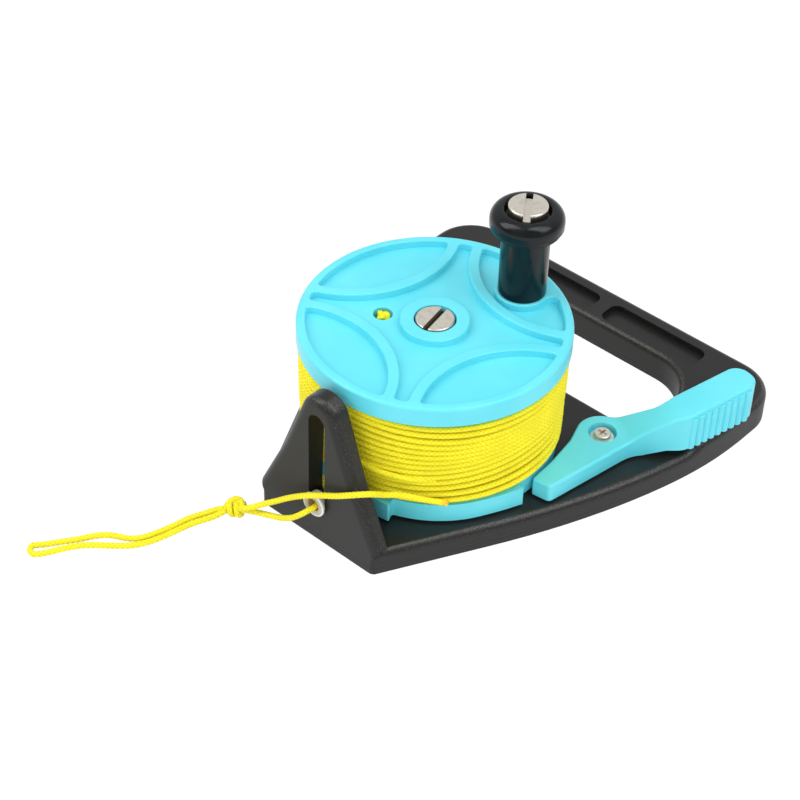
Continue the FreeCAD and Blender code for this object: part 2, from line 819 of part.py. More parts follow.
def rim_corner(edge, from_crest):
    """An upright corner where a side of a rib meets the rim."""
    if not upright(edge) or abs(reach(edge) - value(RIM_INNER)) > NEAR:
        return False
    step = 360 / PATTERN_COUNT
    angle = math.degrees(math.atan2(middle(edge).y, middle(edge).x)) - value("pattern_turn")
    offset = (angle + step / 2) % step - step / 2
    return abs(abs(offset) - from_crest) < 0.5


round_edges(upper, "lens_tip_rounding", "lens_tips",
            lambda edge: rim_corner(edge, value("rib_inner_angle")))
round_edges(upper, f"star_tip_share * {STAR_HALF_TIP}", "star_tips",
            lambda edge: rim_corner(edge, value("rib_outer_angle")))
knob_pad = new_sketch(upper, "knob_pad", "XY_Plane", PATTERN_FLOOR)
add_edges(knob_pad, knob_pad_outline())
pad(upper, knob_pad, "recess_floor_depth", "knob_pad_pad")
round_edges(upper, "flange_rounding", "flange_rim",
            lambda edge: flat_at(edge, value(SPOOL_TOP)) and reach(edge) > value("flange_radius") - NEAR)
round_edges(upper, "edge_softening", "pattern_edges",
            lambda edge: flat_at(edge, value(SPOOL_TOP))
            and value("head_well_radius") + NEAR < reach(edge) < value(RIM_INNER) + NEAR)
round_edges(upper, "edge_softening", "flange_underside",
            lambda edge: flat_at(edge, value("upper_flange_bottom"))
            and reach(edge) > value("flange_radius") - NEAR)
anchor = new_sketch(upper, "anchor_hole", "XY_Plane", SPOOL_TOP)
add_circle(anchor, "anchor_hole_radius", "anchor_hole_x", "anchor_hole_y")
pocket(upper, anchor, "upper_flange_thickness", "anchor_hole_cut")
knob_hole = new_sketch(upper, "knob_hole", "XY_Plane", SPOOL_TOP)
add_circle(knob_hole, "axle_radius + running_gap", **KNOB)
pocket(upper, knob_hole, "upper_flange_thickness", "knob_hole_cut")
nut_recess = new_sketch(upper, "nut_recess", "XY_Plane", "upper_flange_bottom")
nut_corner = (value("knob_nut_flats") / 2 + value("face_gap")) / math.cos(math.pi / 6)
nut_centre = Vector(value(KNOB_X), value(KNOB_Y), 0)
nut_corners = [polar(nut_corner, 60 * n, nut_centre) for n in range(6)]
add_edges(nut_recess, [Part.LineSegment(nut_corners[n - 1], nut_corners[n]) for n in range(6)])
pocket(upper, nut_recess, "knob_nut_height + 2 * face_gap", "nut_recess_cut", upward=True)
pilot = new_sketch(upper, "pilot_hole", "XY_Plane", LOWER_FLANGE_TOP)
add_circle(pilot, "flange_screw_radius + thread_gap", "flange_screw_ring")
pilot_cut = pocket(upper, pilot, "flange_screw_length", "pilot_hole_cut", upward=True)
polar_pattern(upper, pilot_cut, pilot, FLANGE_SCREW_COUNT, "pilot_holes")


def ratchet_outline():
    """Six teeth, each rising from its root to the flange's radius and dropping straight back."""
    pitch = 360 / TOOTH_COUNT
    root = value(TOOTH_ROOT)
    knee_radius = value("flange_radius - tooth_knee_depth")
    tip = value("flange_radius")
    curves = []
    for n in range(TOOTH_COUNT):
        start = value("tooth_turn") + n * pitch
        foot = polar(root, start)
        swell = polar(root + 0.6 * (knee_radius - root), start + 0.3 * pitch)
        knee = polar(knee_radius, start + 0.62 * pitch)
        rise = polar(knee_radius + 0.3 * (tip - knee_radius), start + 0.83 * pitch)
        crest = polar(tip, start + pitch)
        curves.append(Part.Arc(foot, swell, knee))
        curves.append(Part.Arc(knee, rise, crest))
        curves.append(Part.LineSegment(crest, polar(root, start + pitch)))
    return curves


lower = new_body("spool_lower_flange")
ratchet = new_sketch(lower, "ratchet", "XY_Plane", SPOOL_BOTTOM)
add_edges(ratchet, ratchet_outline())
pad(lower, ratchet, "lower_flange_thickness", "ratchet_pad")
round_edges(lower, "tooth_root_fillet", "tooth_roots",
            lambda edge: upright(edge) and reach(edge) < value(TOOTH_ROOT) + NEAR)
round_edges(lower, "tooth_tip_fillet", "tooth_tips",
            lambda edge: upright(edge) and reach(edge) > value("flange_radius") - NEAR)
lower_bore = new_sketch(lower, "lower_bore", "XY_Plane", SPOOL_BOTTOM)
add_circle(lower_bore, HUB_BORE)
pocket(lower, lower_bore, "lower_flange_thickness", "lower_bore_cut", upward=True)
screw_hole = new_sketch(lower, "screw_hole", "XY_Plane", SPOOL_BOTTOM)
add_circle(screw_hole, "flange_screw_radius + running_gap", "flange_screw_ring")
hole_cut = pocket(lower, screw_hole, "lower_flange_thickness", "screw_hole_cut", upward=True)
polar_pattern(lower, hole_cut, screw_hole, FLANGE_SCREW_COUNT, "screw_holes")
head_hole = new_sketch(lower, "screw_head_hole", "XY_Plane", SPOOL_BOTTOM)
add_circle(head_hole, "flange_screw_head_radius + face_gap", "flange_screw_ring")
head_cut = pocket(lower, head_hole, "flange_screw_radius + face_gap", "screw_head_cut", upward=True)
polar_pattern(lower, head_cut, head_hole, FLANGE_SCREW_COUNT, "screw_head_holes")

screw_parts = []
for n in range(FLANGE_SCREW_COUNT):
    angle = 360 / FLANGE_SCREW_COUNT * n
    shank = doc.addObject("Part::Cylinder", f"flange_screw_shank_{n + 1}")
    head = doc.addObject("Part::Cylinder", f"flange_screw_head_{n + 1}")
    bind(shank, "Radius", "flange_screw_radius")
    bind(shank, "Height", "flange_screw_length")
    bind(head, "Radius", "flange_screw_head_radius")
    bind(head, "Height", "flange_screw_radius")
    for item in (shank, head):
        place(item, f"flange_screw_ring * cos({angle} deg)", f"flange_screw_ring * sin({angle} deg)",
              f"{SPOOL_BOTTOM} + face_gap")
    screw = doc.addObject("Part::Fuse", f"flange_screw_{n + 1}")
    screw.Base = shank
    screw.Tool = head
    screw_parts.append(screw)
screws = doc.addObject("Part::Compound", "spool_screws")
screws.Links = screw_parts
screws.Label = "spool_screws"

# Turning knob

ring("knob_sleeve", "axle_radius + running_gap", "knob_sleeve_radius",
     f"{KNOB_WASHER_BOTTOM} - {SPOOL_TOP}", z=SPOOL_TOP, **KNOB)
CAP_BOTTOM = "(knob_lip_height + knob_lip_thickness)"
CAP_TOP = f"({CAP_BOTTOM} + knob_cap_height)"
grip = turned("knob_grip", [
    ("knob_sleeve_radius + running_gap", "0"),
    ("knob_shank_radius", "0"),
    ("knob_shank_radius", "knob_lip_height"),
    ("knob_lip_radius", "knob_lip_height"),
    ("knob_lip_radius", CAP_BOTTOM),
    ("knob_cap_radius", CAP_BOTTOM),
    ("knob_cap_radius", CAP_TOP),
    ("knob_well_radius", CAP_TOP),
    ("knob_well_radius", f"{CAP_TOP} - knob_well_depth"),
    ("knob_sleeve_radius + running_gap", f"{CAP_TOP} - knob_well_depth"),
], z=KNOB_BOTTOM, **KNOB)
round_edges(grip, "knob_shoulder_rounding", "knob_shoulder",
            lambda edge: flat_at(edge, value(CAP_TOP)) and reach(edge) > value("knob_cap_radius") - NEAR)
round_edges(grip, "knob_well_rounding", "knob_well_rim",
            lambda edge: flat_at(edge, value(CAP_TOP)) and reach(edge) < value("knob_well_radius") + NEAR)
round_edges(grip, "0.8 * (knob_cap_radius - knob_lip_radius)", "knob_cap_lower_rim",
            lambda edge: flat_at(edge, value(CAP_BOTTOM)) and reach(edge) > value("knob_lip_radius") + NEAR)
ring("knob_washer", "axle_radius + running_gap", "0.5 * (knob_head_radius + knob_well_radius)",
     "knob_washer_thickness", z=KNOB_WASHER_BOTTOM, **KNOB)
slotted_screw("knob_screw", "knob_head_radius", "knob_head_height",
              f"{KNOB_HEAD_BOTTOM} - {NUT_BOTTOM}",
              "knob_slot_width", "knob_slot_depth", "knob_slot_turn", z=KNOB_HEAD_BOTTOM, **KNOB)
nut_body = doc.addObject("Part::Prism", "knob_nut_blank")
nut_body.Polygon = 6
bind(nut_body, "Circumradius", "knob_nut_flats / 2 / cos(30 deg)")
bind(nut_body, "Height", "knob_nut_height")
nut_bore = doc.addObject("Part::Cylinder", "knob_nut_bore")
bind(nut_bore, "Radius", "axle_radius + thread_gap")
bind(nut_bore, "Height", "knob_nut_height")
for item in (nut_body, nut_bore):
    place(item, z=NUT_BOTTOM, **KNOB)
nut = doc.addObject("Part::Cut", "knob_nut")
nut.Base = nut_body
nut.Tool = nut_bore
nut.Label = "knob_nut"

# Thumb lever, drawn along X from its pivot

lever = new_body("thumb_lever")
lever_plan = new_sketch(lever, "lever_plan")
add_rounded(lever_plan, [
    ("-nose_reach", "-nose_inner_side", "nose_inner_corner"),
    ("nose_slant - nose_reach", "-nose_outer_side", "nose_outer_corner"),
    ("arm_bend_reach", "-arm_outer_side", "arm_bend_radius"),
    ("grip_outer_start", "-grip_outer_side", "grip_start_radius"),
    ("grip_end", "-grip_outer_side", "grip_end_radius"),
    ("grip_end", "-grip_inner_side", "grip_end_radius"),
    ("grip_inner_start", "-grip_inner_side", "grip_start_radius"),
    ("0.16 * lever_boss_radius", "1.28 * lever_boss_radius", "lever_boss_radius"),
    ("-arm_waist_reach", "arm_waist_side", "arm_bend_radius"),
    ("-arm_inner_reach", "-arm_inner_side", "2 * arm_bend_radius"),
])
pad(lever, lever_plan, "lever_height + lever_gap", "lever_pad")
side_view = new_sketch(lever, "lever_side", "XZ_Plane")
ramp_turn = FreeCAD.Rotation(Y_AXIS, -value("ramp_turn"))
side_view.AttachmentOffset = FreeCAD.Placement(Vector(0, 0, 0), ramp_turn)
add_rounded(side_view, [
    ("-2 * nose_reach", "lever_thickness", "0"),
    ("ramp_start", "lever_thickness", "ramp_foot_radius"),
    ("ramp_start + ramp_length", "lever_height", "ramp_crest_radius"),
    ("1.5 * grip_end", "lever_height", "0"),
    ("1.5 * grip_end", "2 * lever_height", "0"),
    ("-2 * nose_reach", "2 * lever_height", "0"),
])
pocket(lever, side_view, "4 * grip_end", "lever_top_cut", both_ways=True)
underside = new_sketch(lever, "lever_underside", "XZ_Plane")
add_polygon(underside, [
    ("lever_boss_radius", "0"),
    ("lever_boss_radius", "-lever_thickness"),
    ("2 * grip_end", "-lever_thickness"),
    ("2 * grip_end", "grip_underside"),
    ("lever_boss_radius + 3 * grip_underside", "grip_underside"),
])
pocket(lever, underside, "4 * grip_end", "lever_underside_cut", both_ways=True)


def lever_top_rim(edge):
    """Edges of the lever's top, without the ones across the foot and crest of its ramp."""
    turn = math.radians(value("ramp_turn"))
    climb = [vertex.X * math.cos(turn) - vertex.Y * math.sin(turn) for vertex in edge.Vertexes]
    return (middle(edge).z > value("lever_thickness") - TOUCHING and not upright(edge)
            and max(climb) - min(climb) > TOUCHING)


round_edges(lever, "lever_rounding", "lever_top_rounding", lever_top_rim)
thumb_rib = new_sketch(lever, "thumb_rib", "XY_Plane", "grip_underside")
add_circle(thumb_rib, "rib_radius", "rib_first", "rib_radius - grip_outer_side - rib_stand_out")
thumb_rib_pad = pad(lever, thumb_rib, "rib_height", "thumb_rib_pad")
thumb_ribs = lever.newObject("PartDesign::LinearPattern", "thumb_ribs")
thumb_ribs.Originals = [thumb_rib_pad]
thumb_ribs.Direction = (thumb_rib, ["H_Axis"])
bind(thumb_ribs, "Length", f"rib_pitch * {THUMB_RIB_COUNT - 1}")
thumb_ribs.Occurrences = THUMB_RIB_COUNT
lever.Tip = thumb_ribs
pivot_bore = new_sketch(lever, "pivot_bore")
add_circle(pivot_bore, "pivot_radius + running_gap")
pocket(lever, pivot_bore, "lever_thickness", "pivot_bore_cut", upward=True)
pivot_well = new_sketch(lever, "pivot_well", "XY_Plane", "lever_height")
add_circle(pivot_well, "pivot_well_radius")
pocket(lever, pivot_well, "lever_height - lever_thickness + pivot_well_depth", "pivot_well_cut")
spring_pocket = new_sketch(lever, "spring_pocket")
add_circle(spring_pocket, "spring_pocket_radius")
pocket(lever, spring_pocket, "spring_pocket_depth", "spring_pocket_cut", upward=True)
place(lever, z=SPOOL_BOTTOM, turn=(Z_AXIS, value("lever_turn")), **PIVOT)

ring("lever_washer", "pivot_screw_radius + running_gap", "pivot_washer_radius",
     "pivot_washer_thickness", z=PIVOT_POST_TOP, **PIVOT)
SHANK = "(pivot_screw_length + pivot_washer_thickness - face_gap)"
pivot_screw = turned("lever_screw", [
    ("0", f"-{SHANK}"),
    ("pivot_screw_radius", f"-{SHANK}"),
    ("pivot_screw_radius", "0"),
    ("pivot_head_radius", "0"),
    ("pivot_head_radius", "pivot_head_height"),
    ("0", "pivot_head_height"),
], z=f"{PIVOT_POST_TOP} + pivot_washer_thickness", **PIVOT)
round_edges(pivot_screw, "0.35 * pivot_head_height", "pivot_head_dome",
            lambda edge: flat_at(edge, value("pivot_head_height")) and reach(edge) > 1)
cross = new_sketch(pivot_screw, "cross_recess", "XY_Plane", "pivot_head_height")
arm = "0.55 * pivot_head_radius"
half = "0.13 * pivot_head_radius"
add_polygon(cross, [
    (arm, f"-{half}"), (arm, half), (half, half), (half, arm), (f"-{half}", arm), (f"-{half}", half),
    (f"-{arm}", half), (f"-{arm}", f"-{half}"), (f"-{half}", f"-{half}"), (f"-{half}", f"-{arm}"),
    (half, f"-{arm}"), (half, f"-{half}"),
])
pocket(pivot_screw, cross, "0.6 * pivot_head_height", "cross_recess_cut")


# Round wires and cords

def biarc(start, start_way, end, end_way):
    """Two arcs that meet smoothly and leave and arrive along the given ways."""
    chord = end - start
    ways = start_way + end_way
    along = chord.dot(ways)
    spare = 4 - ways.dot(ways)
    reach_out = (math.sqrt(along**2 + spare * chord.dot(chord)) - along) / spare
    first_corner = start + start_way * reach_out
    second_corner = end - end_way * reach_out
    joint = (first_corner + second_corner) / 2
    arcs = []
    for a, corner, b in ((start, first_corner, joint), (joint, second_corner, end)):
        centre_of_chord = (a + b) / 2
        rise = corner - centre_of_chord
        half_chord = (b - a).Length / 2
        turn = math.atan2(rise.Length, half_chord)
        bulge = centre_of_chord + rise.normalize() * (half_chord * math.tan(turn / 2))
        arcs.append(Part.Arc(a, bulge, b).toShape())
    return arcs


def coil_path(radius_at, low, pitch, half_turns, start_angle, leg):
    """A rising coil about Z of half-turn biarcs, with a straight leg at each end."""
    points = []
    ways = []
    for n in range(half_turns + 1):
        height = low + pitch * n / 2
        angle = start_angle + 180 * n
        radius = radius_at(height)
        points.append(polar(radius, angle) + Vector(0, 0, height))
        ways.append((polar(math.pi * radius, angle + 90) + Vector(0, 0, pitch / 2)).normalize())
    edges = [Part.LineSegment(points[0] - ways[0] * leg, points[0]).toShape()]
    for n in range(half_turns):
        edges += biarc(points[n], ways[n], points[n + 1], ways[n + 1])
    edges.append(Part.LineSegment(points[-1], points[-1] + ways[-1] * leg).toShape())
    return Part.Wire(edges)


def cord_path(points):
    """Straight runs joined by tangent arcs, each as large as its two runs allow."""
    points = [Vector(*point) for point in points]
    edges = []
    radii = []
    start = points[0]
    for before, here, after in zip(points, points[1:], points[2:]):
        back = before - here
        ahead = after - here
        cut = 0.45 * min(back.Length, ahead.Length)
        half_turn = (math.pi - back.getAngle(ahead)) / 2
        radius = cut / math.tan(half_turn)
        radii.append(radius)
        back.normalize()
        ahead.normalize()
        arc_start = here + back * cut
        arc_end = here + ahead * cut
        inward = (back + ahead).normalize()
        bulge = here + inward * (radius / math.cos(half_turn) - radius)
        edges.append(Part.LineSegment(start, arc_start).toShape())
        edges.append(Part.Arc(arc_start, bulge, arc_end).toShape())
        start = arc_end
    edges.append(Part.LineSegment(start, points[-1]).toShape())
    return Part.Wire(edges), radii


def round_tube(path, diameter):
    first = path.Edges[0]
    way = first.tangentAt(first.FirstParameter)
    circle = Part.Wire(Part.Circle(first.valueAt(first.FirstParameter), way, diameter / 2).toShape())
    return path.makePipeShell([circle], True, False)


def keep_shape(name, shape):
    feature = doc.addObject("Part::Feature", name)
    feature.Label = name
    feature.Shape = shape
    return feature


def least_gap(path, diameter, period):
    """Least distance between the tube's turns, from points along its path."""
    points = path.discretize(Distance=diameter)
    skip = int(0.5 * period / diameter)
    nearest = min((points[a] - points[b]).Length
                  for a in range(len(points)) for b in range(a + skip, len(points)))
    return nearest - diameter


def cord(name, points, diameter):
    path, radii = cord_path(points)
    tube = round_tube(path, diameter)
    expected = path.Length * math.pi * diameter**2 / 4
    print(f"{name}: {path.Length:.0f} mm long, radii {min(radii):.1f} to {max(radii):.1f} mm,"
          f" volume {tube.Volume / expected:.3f} of section by length")
    return keep_shape(name, tube)


# Lever spring: a close coil round the pivot post with two short legs

wire = value("spring_wire")
spring_low = value("plate_thickness") + wire / 2 + value("face_gap")
spring_path = coil_path(lambda height: value("spring_radius"), spring_low, value("spring_pitch"),
                        SPRING_HALF_TURNS, 0, value("spring_leg"))
spring = keep_shape("lever_spring", round_tube(spring_path, wire))
place(spring, **PIVOT)
spring_gap = least_gap(spring_path, wire, 2 * math.pi * value("spring_radius"))
print(f"lever_spring: least gap {spring_gap:.2f} mm")

# Wound line

line = value("line_diameter")
winding_bottom = value(f"{LOWER_FLANGE_TOP} + winding_side_gap")
winding_top = value("upper_flange_bottom - winding_side_gap")
least_pitch = line + value("winding_gap")


def winding_radius(height):
    """Outer radius of the wound line, which swells a little towards the upper flange."""
    share = (height - winding_bottom) / (winding_top - winding_bottom)
    return value(WINDING_LOW) + share * value(f"{WINDING_HIGH} - {WINDING_LOW}")


half_turns = int(2 * (winding_top - winding_bottom - line) / least_pitch)
winding_pitch = 2 * (winding_top - winding_bottom - line) / half_turns
winding_path = coil_path(lambda height: winding_radius(height) - line / 2, winding_bottom + line / 2,
                         winding_pitch, half_turns, WINDING_START, line)
keep_shape("line_winding", round_tube(winding_path, line))
winding_gap = least_gap(winding_path, line, 2 * math.pi * value(WINDING_LOW))
print(f"line_winding: {half_turns / 2:.1f} turns, least gap {winding_gap:.2f} mm")
turned("line_core", [
    ("hub_radius + core_gap", f"{LOWER_FLANGE_TOP} + winding_side_gap"),
    (f"{WINDING_LOW} - line_diameter - core_gap", f"{LOWER_FLANGE_TOP} + winding_side_gap"),
    (f"{WINDING_HIGH} - line_diameter - core_gap", "upper_flange_bottom - winding_side_gap"),
    ("hub_radius + core_gap", "upper_flange_bottom - winding_side_gap"),
])

anchor_ball = doc.addObject("Part::Sphere", "line_anchor_knot")
anchor_ball.Label = "line_anchor_knot"
bind(anchor_ball, "Radius", "anchor_knot_radius")
place(anchor_ball, "anchor_hole_x", "anchor_hole_y", "upper_flange_bottom + anchor_knot_radius + face_gap")

# Line from the winding through the eyelet

EYELET_FACE = -value(f"front_edge + {EYELET_FRONT}")
LINE_X = 0.8
LINE_HEIGHT = value("keyhole_height") - 0.4
cord("line_lead", [
    (-21.8, -44.0, 21.8),
    (-16.2, -47.0, 21.0),
    (-9.4, -49.4, 19.6),
    (-3.9, -50.6, 18.3),
    (-0.7, -52.8, 17.3),
    (LINE_X, -57.0, LINE_HEIGHT),
    (LINE_X, EYELET_FACE, LINE_HEIGHT),
], line)

# Free end of the line: a leg down to the knot, the hand loop, and the short end
# that runs back over the guide

KNOT = (-27.4, -69.8, 3.6)
KNOT_END = (-31.2, -72.0, 2.7)
cord("line_leader", [
    (LINE_X, EYELET_FACE, LINE_HEIGHT),
    (-0.2, -63.8, 16.0),
    (-2.2, -65.3, 14.0),
    (-5.4, -65.9, 10.9),
    (-9.8, -65.8, 7.9),
    (-14.4, -65.9, 5.8),
    (-19.2, -66.5, 4.4),
    (-23.0, -67.6, 3.6),
    (-25.8, -68.9, 3.5),
], line)
cord("line_tag", [
    (-26.2, -70.9, 5.2),
    (-22.9, -69.2, 6.2),
    (-18.7, -66.6, 9.3),
    (-13.8, -64.2, 12.4),
    (-8.9, -63.3, 16.6),
    (-1.4, -62.8, 22.2),
    (5.1, -61.8, 25.7),
    (11.0, -60.9, 28.6),
    (16.0, -60.8, 32.1),
    (20.2, -59.6, 34.4),
    (22.6, -56.6, 34.2),
    (22.9, -53.2, 31.8),
    (23.2, -49.6, 29.4),
    (25.0, -45.7, 28.0),
    (28.6, -41.4, 26.1),
    (32.5, -37.4, 24.3),
    (35.4, -34.4, 23.5),
], line)
FLOOR = line / 2
cord("line_loop", [
    (-31.9, -72.3, 2.6),
    (-34.1, -74.6, 2.0),
    (-36.4, -78.6, FLOOR),
    (-38.5, -83.4, FLOOR),
    (-39.4, -89.2, FLOOR),
    (-40.9, -95.2, FLOOR),
    (-42.5, -100.2, FLOOR),
    (-45.0, -104.0, FLOOR),
    (-48.8, -106.2, FLOOR),
    (-53.0, -108.4, FLOOR),
    (-56.2, -112.7, FLOOR),
    (-58.7, -117.4, FLOOR),
    (-61.7, -121.5, FLOOR),
    (-65.1, -126.9, FLOOR),
    (-68.4, -130.3, FLOOR),
    (-64.6, -133.2, FLOOR),
    (-61.7, -129.4, FLOOR),
    (-59.2, -124.2, FLOOR),
    (-56.3, -119.2, FLOOR),
    (-53.3, -115.8, FLOOR),
    (-49.2, -112.3, FLOOR),
    (-45.4, -109.0, FLOOR),
    (-42.5, -105.9, FLOOR),
    (-40.0, -101.4, FLOOR),
    (-38.2, -95.8, FLOOR),
    (-37.0, -89.9, FLOOR),
    (-35.7, -84.2, FLOOR),
    (-33.7, -79.6, FLOOR),
    (-31.7, -76.0, 1.9),
    (-30.8, -72.9, 2.6),
], line)


def ball(name, radius, centre):
    """A ball with its poles to the front and rear, where no other face crosses them."""
    sphere = doc.addObject("Part::Sphere", name)
    bind(sphere, "Radius", radius)
    sphere.Placement = FreeCAD.Placement(Vector(*centre), FreeCAD.Rotation(X_AXIS, 90))
    return sphere


def wrap(name, centre, axis):
    """One turn of the line round the knot."""
    torus = doc.addObject("Part::Torus", name)
    bind(torus, "Radius1", "loop_knot_radius - line_diameter / 2")
    bind(torus, "Radius2", "line_diameter / 2")
    torus.Placement = FreeCAD.Placement(Vector(*centre), FreeCAD.Rotation(Z_AXIS, Vector(*axis)))
    return torus


loop_knot = doc.addObject("Part::MultiFuse", "loop_knot")
loop_knot.Shapes = [
    ball("knot_heart", "loop_knot_radius - 0.35 * line_diameter", KNOT),
    wrap("knot_wrap_rear", (-25.9, -69.0, 3.7), (0.9, 0.35, 0.3)),
    wrap("knot_wrap_front", (-28.7, -70.6, 3.65), (0.8, 0.55, -0.25)),
    ball("knot_end", "loop_knot_end_radius", KNOT_END),
]
loop_knot.Label = "loop_knot"
tag_tip = ball("tag_tip", "0.65 * line_diameter", (36.1, -33.7, 23.3))
tag_tip.Label = "tag_tip"

SUB_PARTS = [
    "frame", "line_eyelet", "axle_insert", "axle_bush", "axle_washer", "axle_screw",
    "friction_washer", "spool_upper_flange", "spool_lower_flange", "spool_screws",
    "knob_sleeve", "knob_grip", "knob_washer", "knob_screw", "knob_nut",
    "thumb_lever", "lever_washer", "lever_screw", "lever_spring",
    "line_core", "line_winding", "line_anchor_knot", "line_lead",
    "line_leader", "line_tag", "line_loop", "loop_knot", "tag_tip",
]

doc.recompute()
for item in doc.Objects:
    if "Invalid" in item.State or "Error" in item.State:
        raise RuntimeError(f"{item.Name} failed: {item.State}")
for name in SUB_PARTS:
    shape = doc.getObject(name).Shape
    if shape.isNull() or not shape.isValid() or not shape.Solids:
        raise RuntimeError(f"{name} has no valid solid")
for name in SUB_PARTS:
    doc.getObject(name).Shape.exportStep(f"parts/{name}.step")
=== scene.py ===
# %% [markdown]
# A dive reel: a black plate with a hand grip at its rear and a line guide at its
# front, a turquoise spool of yellow braided line between them, a winding knob on
# the spool and a thumb lever that stops it. The rigid pieces come from the packed
# CAD model as they are. Here they get their plastics and metals, and the braided
# line is made again, because a braid is thread over thread and no plain tube.

import math

import bmesh
import bpy
import numpy as np
from mathutils import Matrix, Vector


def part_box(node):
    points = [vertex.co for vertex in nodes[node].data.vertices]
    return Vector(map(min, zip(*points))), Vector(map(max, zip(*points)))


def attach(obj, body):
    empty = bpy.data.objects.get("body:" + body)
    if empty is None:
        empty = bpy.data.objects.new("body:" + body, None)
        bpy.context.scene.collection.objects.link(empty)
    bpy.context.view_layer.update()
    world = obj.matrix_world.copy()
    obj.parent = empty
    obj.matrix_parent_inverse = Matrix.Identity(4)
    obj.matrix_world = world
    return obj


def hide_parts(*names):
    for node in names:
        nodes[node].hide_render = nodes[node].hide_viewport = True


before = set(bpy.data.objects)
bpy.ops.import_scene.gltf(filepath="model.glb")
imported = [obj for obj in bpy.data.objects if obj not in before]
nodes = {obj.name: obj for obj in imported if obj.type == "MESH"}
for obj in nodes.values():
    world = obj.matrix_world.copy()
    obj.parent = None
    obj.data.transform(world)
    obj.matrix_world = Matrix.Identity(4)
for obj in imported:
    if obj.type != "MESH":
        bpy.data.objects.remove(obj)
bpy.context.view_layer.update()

# %% [markdown]
# The camera stands where the photographer stood: to the right of the line guide,
# about 0.7 m away and half a metre up, with a long lens. Its right, up and back
# directions are the columns of its matrix.

# %% Camera
MM = 0.001
CAMERA_PLACE = Vector((361.682, -434.626, 515.324)) * MM
CAMERA_RIGHT = Vector((0.74153705, 0.67046199, 0.02456656))
CAMERA_UP = Vector((-0.45274041, 0.47304095, 0.75581637))
CAMERA_BACK = Vector((0.49512516, -0.57158812, 0.65432263))

lens = bpy.data.cameras.new("camera")
lens.sensor_width = 36
lens.lens = 94.5
lens.clip_start = 0.05
lens.clip_end = 20
camera = bpy.data.objects.new("camera", lens)
bpy.context.scene.collection.objects.link(camera)
turn = Matrix((CAMERA_RIGHT, CAMERA_UP, CAMERA_BACK)).transposed()
camera.matrix_world = Matrix.Translation(CAMERA_PLACE) @ turn.to_4x4()
bpy.context.scene.camera = camera
print("camera at", [round(v, 3) for v in camera.location])

# %% [markdown]
# Line lies limp: it bends anywhere and has no spring of its own. Each length of it
# is a smooth spline through a few guiding points. Blender's NURBS curve gives the
# spline, and a curve without a bevel, turned into a mesh, gives points along it.

# %% Points along a limp route
LINE = 2.2 * MM


def along_route(points, per_span=24):
    """Points of the smooth spline whose control points are these, in millimetres."""
    curve = bpy.data.curves.new("route", "CURVE")
    curve.dimensions = "3D"
    curve.resolution_u = per_span
    spline = curve.splines.new("NURBS")
    spline.points.add(len(points) - 1)
    for place, point in zip(spline.points, points):
        place.co = (*(Vector(point) * MM), 1)
    spline.order_u = 3
    spline.use_endpoint_u = True
    holder = bpy.data.objects.new("route", curve)
    bpy.context.scene.collection.objects.link(holder)
    bpy.context.view_layer.update()
    mesh = bpy.data.meshes.new_from_object(holder)
    route = np.array([vertex.co for vertex in mesh.vertices])
    bpy.data.objects.remove(holder)
    bpy.data.curves.remove(curve)
    bpy.data.meshes.remove(mesh)
    return route


def route_length(route):
    return float(np.linalg.norm(np.diff(route, axis=0), axis=1).sum())


# %% [markdown]
# The braid has eight strands, four that wind to the left and four to the right.
# Each passes over one strand and under the next, which leaves rows of small
# diamonds. Their height is worked out from the place along and around the line,
# and pushes the tube's surface out, so that the line's outline is uneven too.

# %% Braid height
STRANDS = 4
PICK = 1.7 * MM


def braid_height(along, around):
    """Height of the braid from 0 in a groove to 1 on a strand's back."""
    left = STRANDS * around + along / PICK
    right = STRANDS * around - along / PICK
    crown = np.abs(np.sin(np.pi * left) * np.sin(np.pi * right))
    return crown**0.5


def frames_along(route):
    """Two directions across the route at each point, turned as little as can be."""
    ahead = np.gradient(route, axis=0)
    ahead /= np.linalg.norm(ahead, axis=1)[:, None]
    side = np.cross(ahead[0], (0.31, 0.22, 0.92))
    sides = []
    for way in ahead:
        side = side - way * (side @ way)
        side = side / np.linalg.norm(side)
        sides.append(side)
    sides = np.array(sides)
    return sides, np.cross(ahead, sides)


